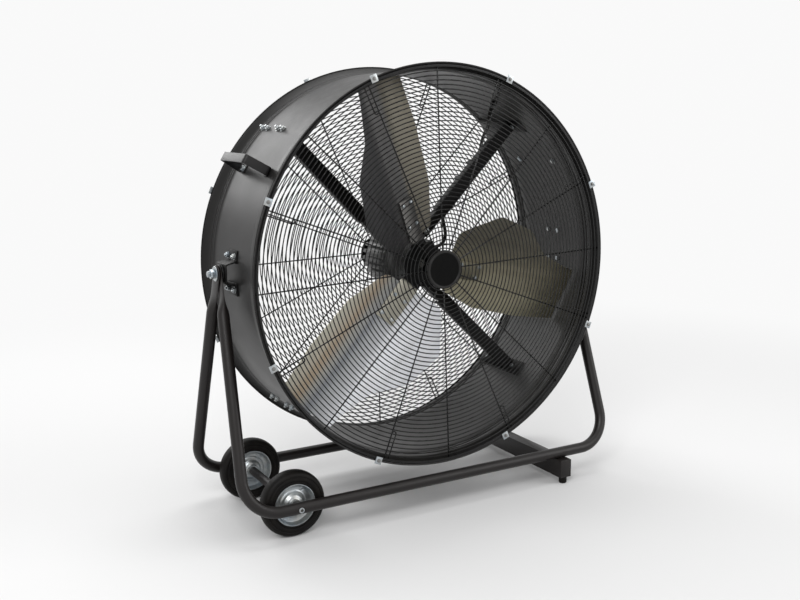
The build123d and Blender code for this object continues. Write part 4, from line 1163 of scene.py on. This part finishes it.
glandForm = {
    "mainsBore": 0.0045, "leadBore": 0.0046, "inletUp": 0.031, "aside": -0.02, "seat": 0.5277,
    "exit": (0.109, 0.061, axisHeight + 0.022),
    "flats": 0.0176, "foot": 0.004, "chamfer": 0.0006, "ribs": 14,
    "rib": ((0.0078, -0.0006, 0.005), (0.0086, 0.0006, 0.0092), 0.0002, 1),
    "dome": [  # outside the bore
        (0.0084, 0.0038), (0.0084, 0.0048), (0.008, 0.0052), (0.008, 0.009), (0.0074, 0.0104),
        (0.0062, 0.0116),
    ],
}


def glandPiece(name, bore):  # a hexagon foot, then a ribbed dome nut, 12 mm long along +Z
    foot = hexHead("foot", glandForm["flats"], glandForm["foot"], glandForm["chamfer"])
    mouth = [(bore + 0.0008, 0.012), (bore, 0.0116), (bore, 0.0038)]
    dome = turned("dome", [(bore, 0.0038)] + glandForm["dome"] + mouth, 40)
    ribs = []
    for index in range(glandForm["ribs"]):
        turn = Matrix.Rotation(index * 2 * math.pi / glandForm["ribs"], 4, "Z")
        ribs.append(placed(softBox("rib", *glandForm["rib"]), turn))
    return joinAll(name, [foot, dome] + ribs)


inlet = glandPiece("mainsInlet", glandForm["mainsBore"])
inletAt = (boxForm["base"] + glandForm["inletUp"], boxForm["length"] / 2, axisHeight + glandForm["aside"])
layOn(inlet, inletAt, (0, 1, 0))
dress(turnAbout(inlet, boxForm["turn"]), "plastic", "mains_gland")
entry = glandPiece("wallGland", glandForm["leadBore"])
layOn(entry, polar(glandForm["seat"], boxForm["turn"], glandForm["aside"]), -outward(boxForm["turn"]))
dress(entry, "plastic", "wall_gland")
exitGland = glandPiece("terminalGland", glandForm["leadBore"])
dress(layOn(exitGland, glandForm["exit"], (1, 0, 0)), "plastic", "terminal_gland")

coverForm = {
    "edge": 0.0009, "across": 0.021, "up": 0.019, "sunk": 0.0014,
    "screw": [(0, 0), (0.0032, 0), (0.0032, 0.0008), (0.0024, 0.0014), (0, 0.0016)],
}


def makeTerminalCover():
    low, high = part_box("terminal_cover")
    middle = (high[0] - coverForm["sunk"], (low[1] + high[1]) / 2, (low[2] + high[2]) / 2)
    screws = cornerScrews(coverForm["screw"], middle, coverForm["across"], coverForm["up"])
    pieces = [softBox("cover", low, high, coverForm["edge"])] + screws
    dress(joinAll("terminalCover", pieces), "plastic", "terminal_cover")


makeTerminalCover()
print("switch box and glands")

leadForm = {"radius": 0.005, "roundness": 4, "steps": 12, "order": 3}
leadRoute = [  # from the wall gland to the terminal box, in mm from the drum's axis
    (277.25, -20, 435.19), (264.35, -20, 414.95), (288.55, 14, 376.05), (291.21, 53.3, 339.14),
    (280.36, 50.3, 285.3), (183.64, 50.3, 186.87), (144.42, 54.3, 142.69), (160, 59.3, 92),
    (169, 60, 50), (150, 61, 22), (121, 61, 22),
]
leadPoints = [(x / 1000, y / 1000, axisHeight + z / 1000) for x, y, z in leadRoute]
leadCurve = bpy.data.curves.new("motorLead", "CURVE")
leadCurve.dimensions = "3D"
leadCurve.bevel_depth = leadForm["radius"]
leadCurve.bevel_resolution = leadForm["roundness"]
leadCurve.resolution_u = leadForm["steps"]
leadCurve.use_fill_caps = True
spline = leadCurve.splines.new("NURBS")
spline.points.add(len(leadPoints) - 1)
for point, place in zip(spline.points, leadPoints):
    point.co = (*place, 1)
spline.order_u = leadForm["order"]
spline.use_endpoint_u = True
lead = added("motorLead", leadCurve)
dress(lead, "rubber", "motor_cable")
print("motor lead")
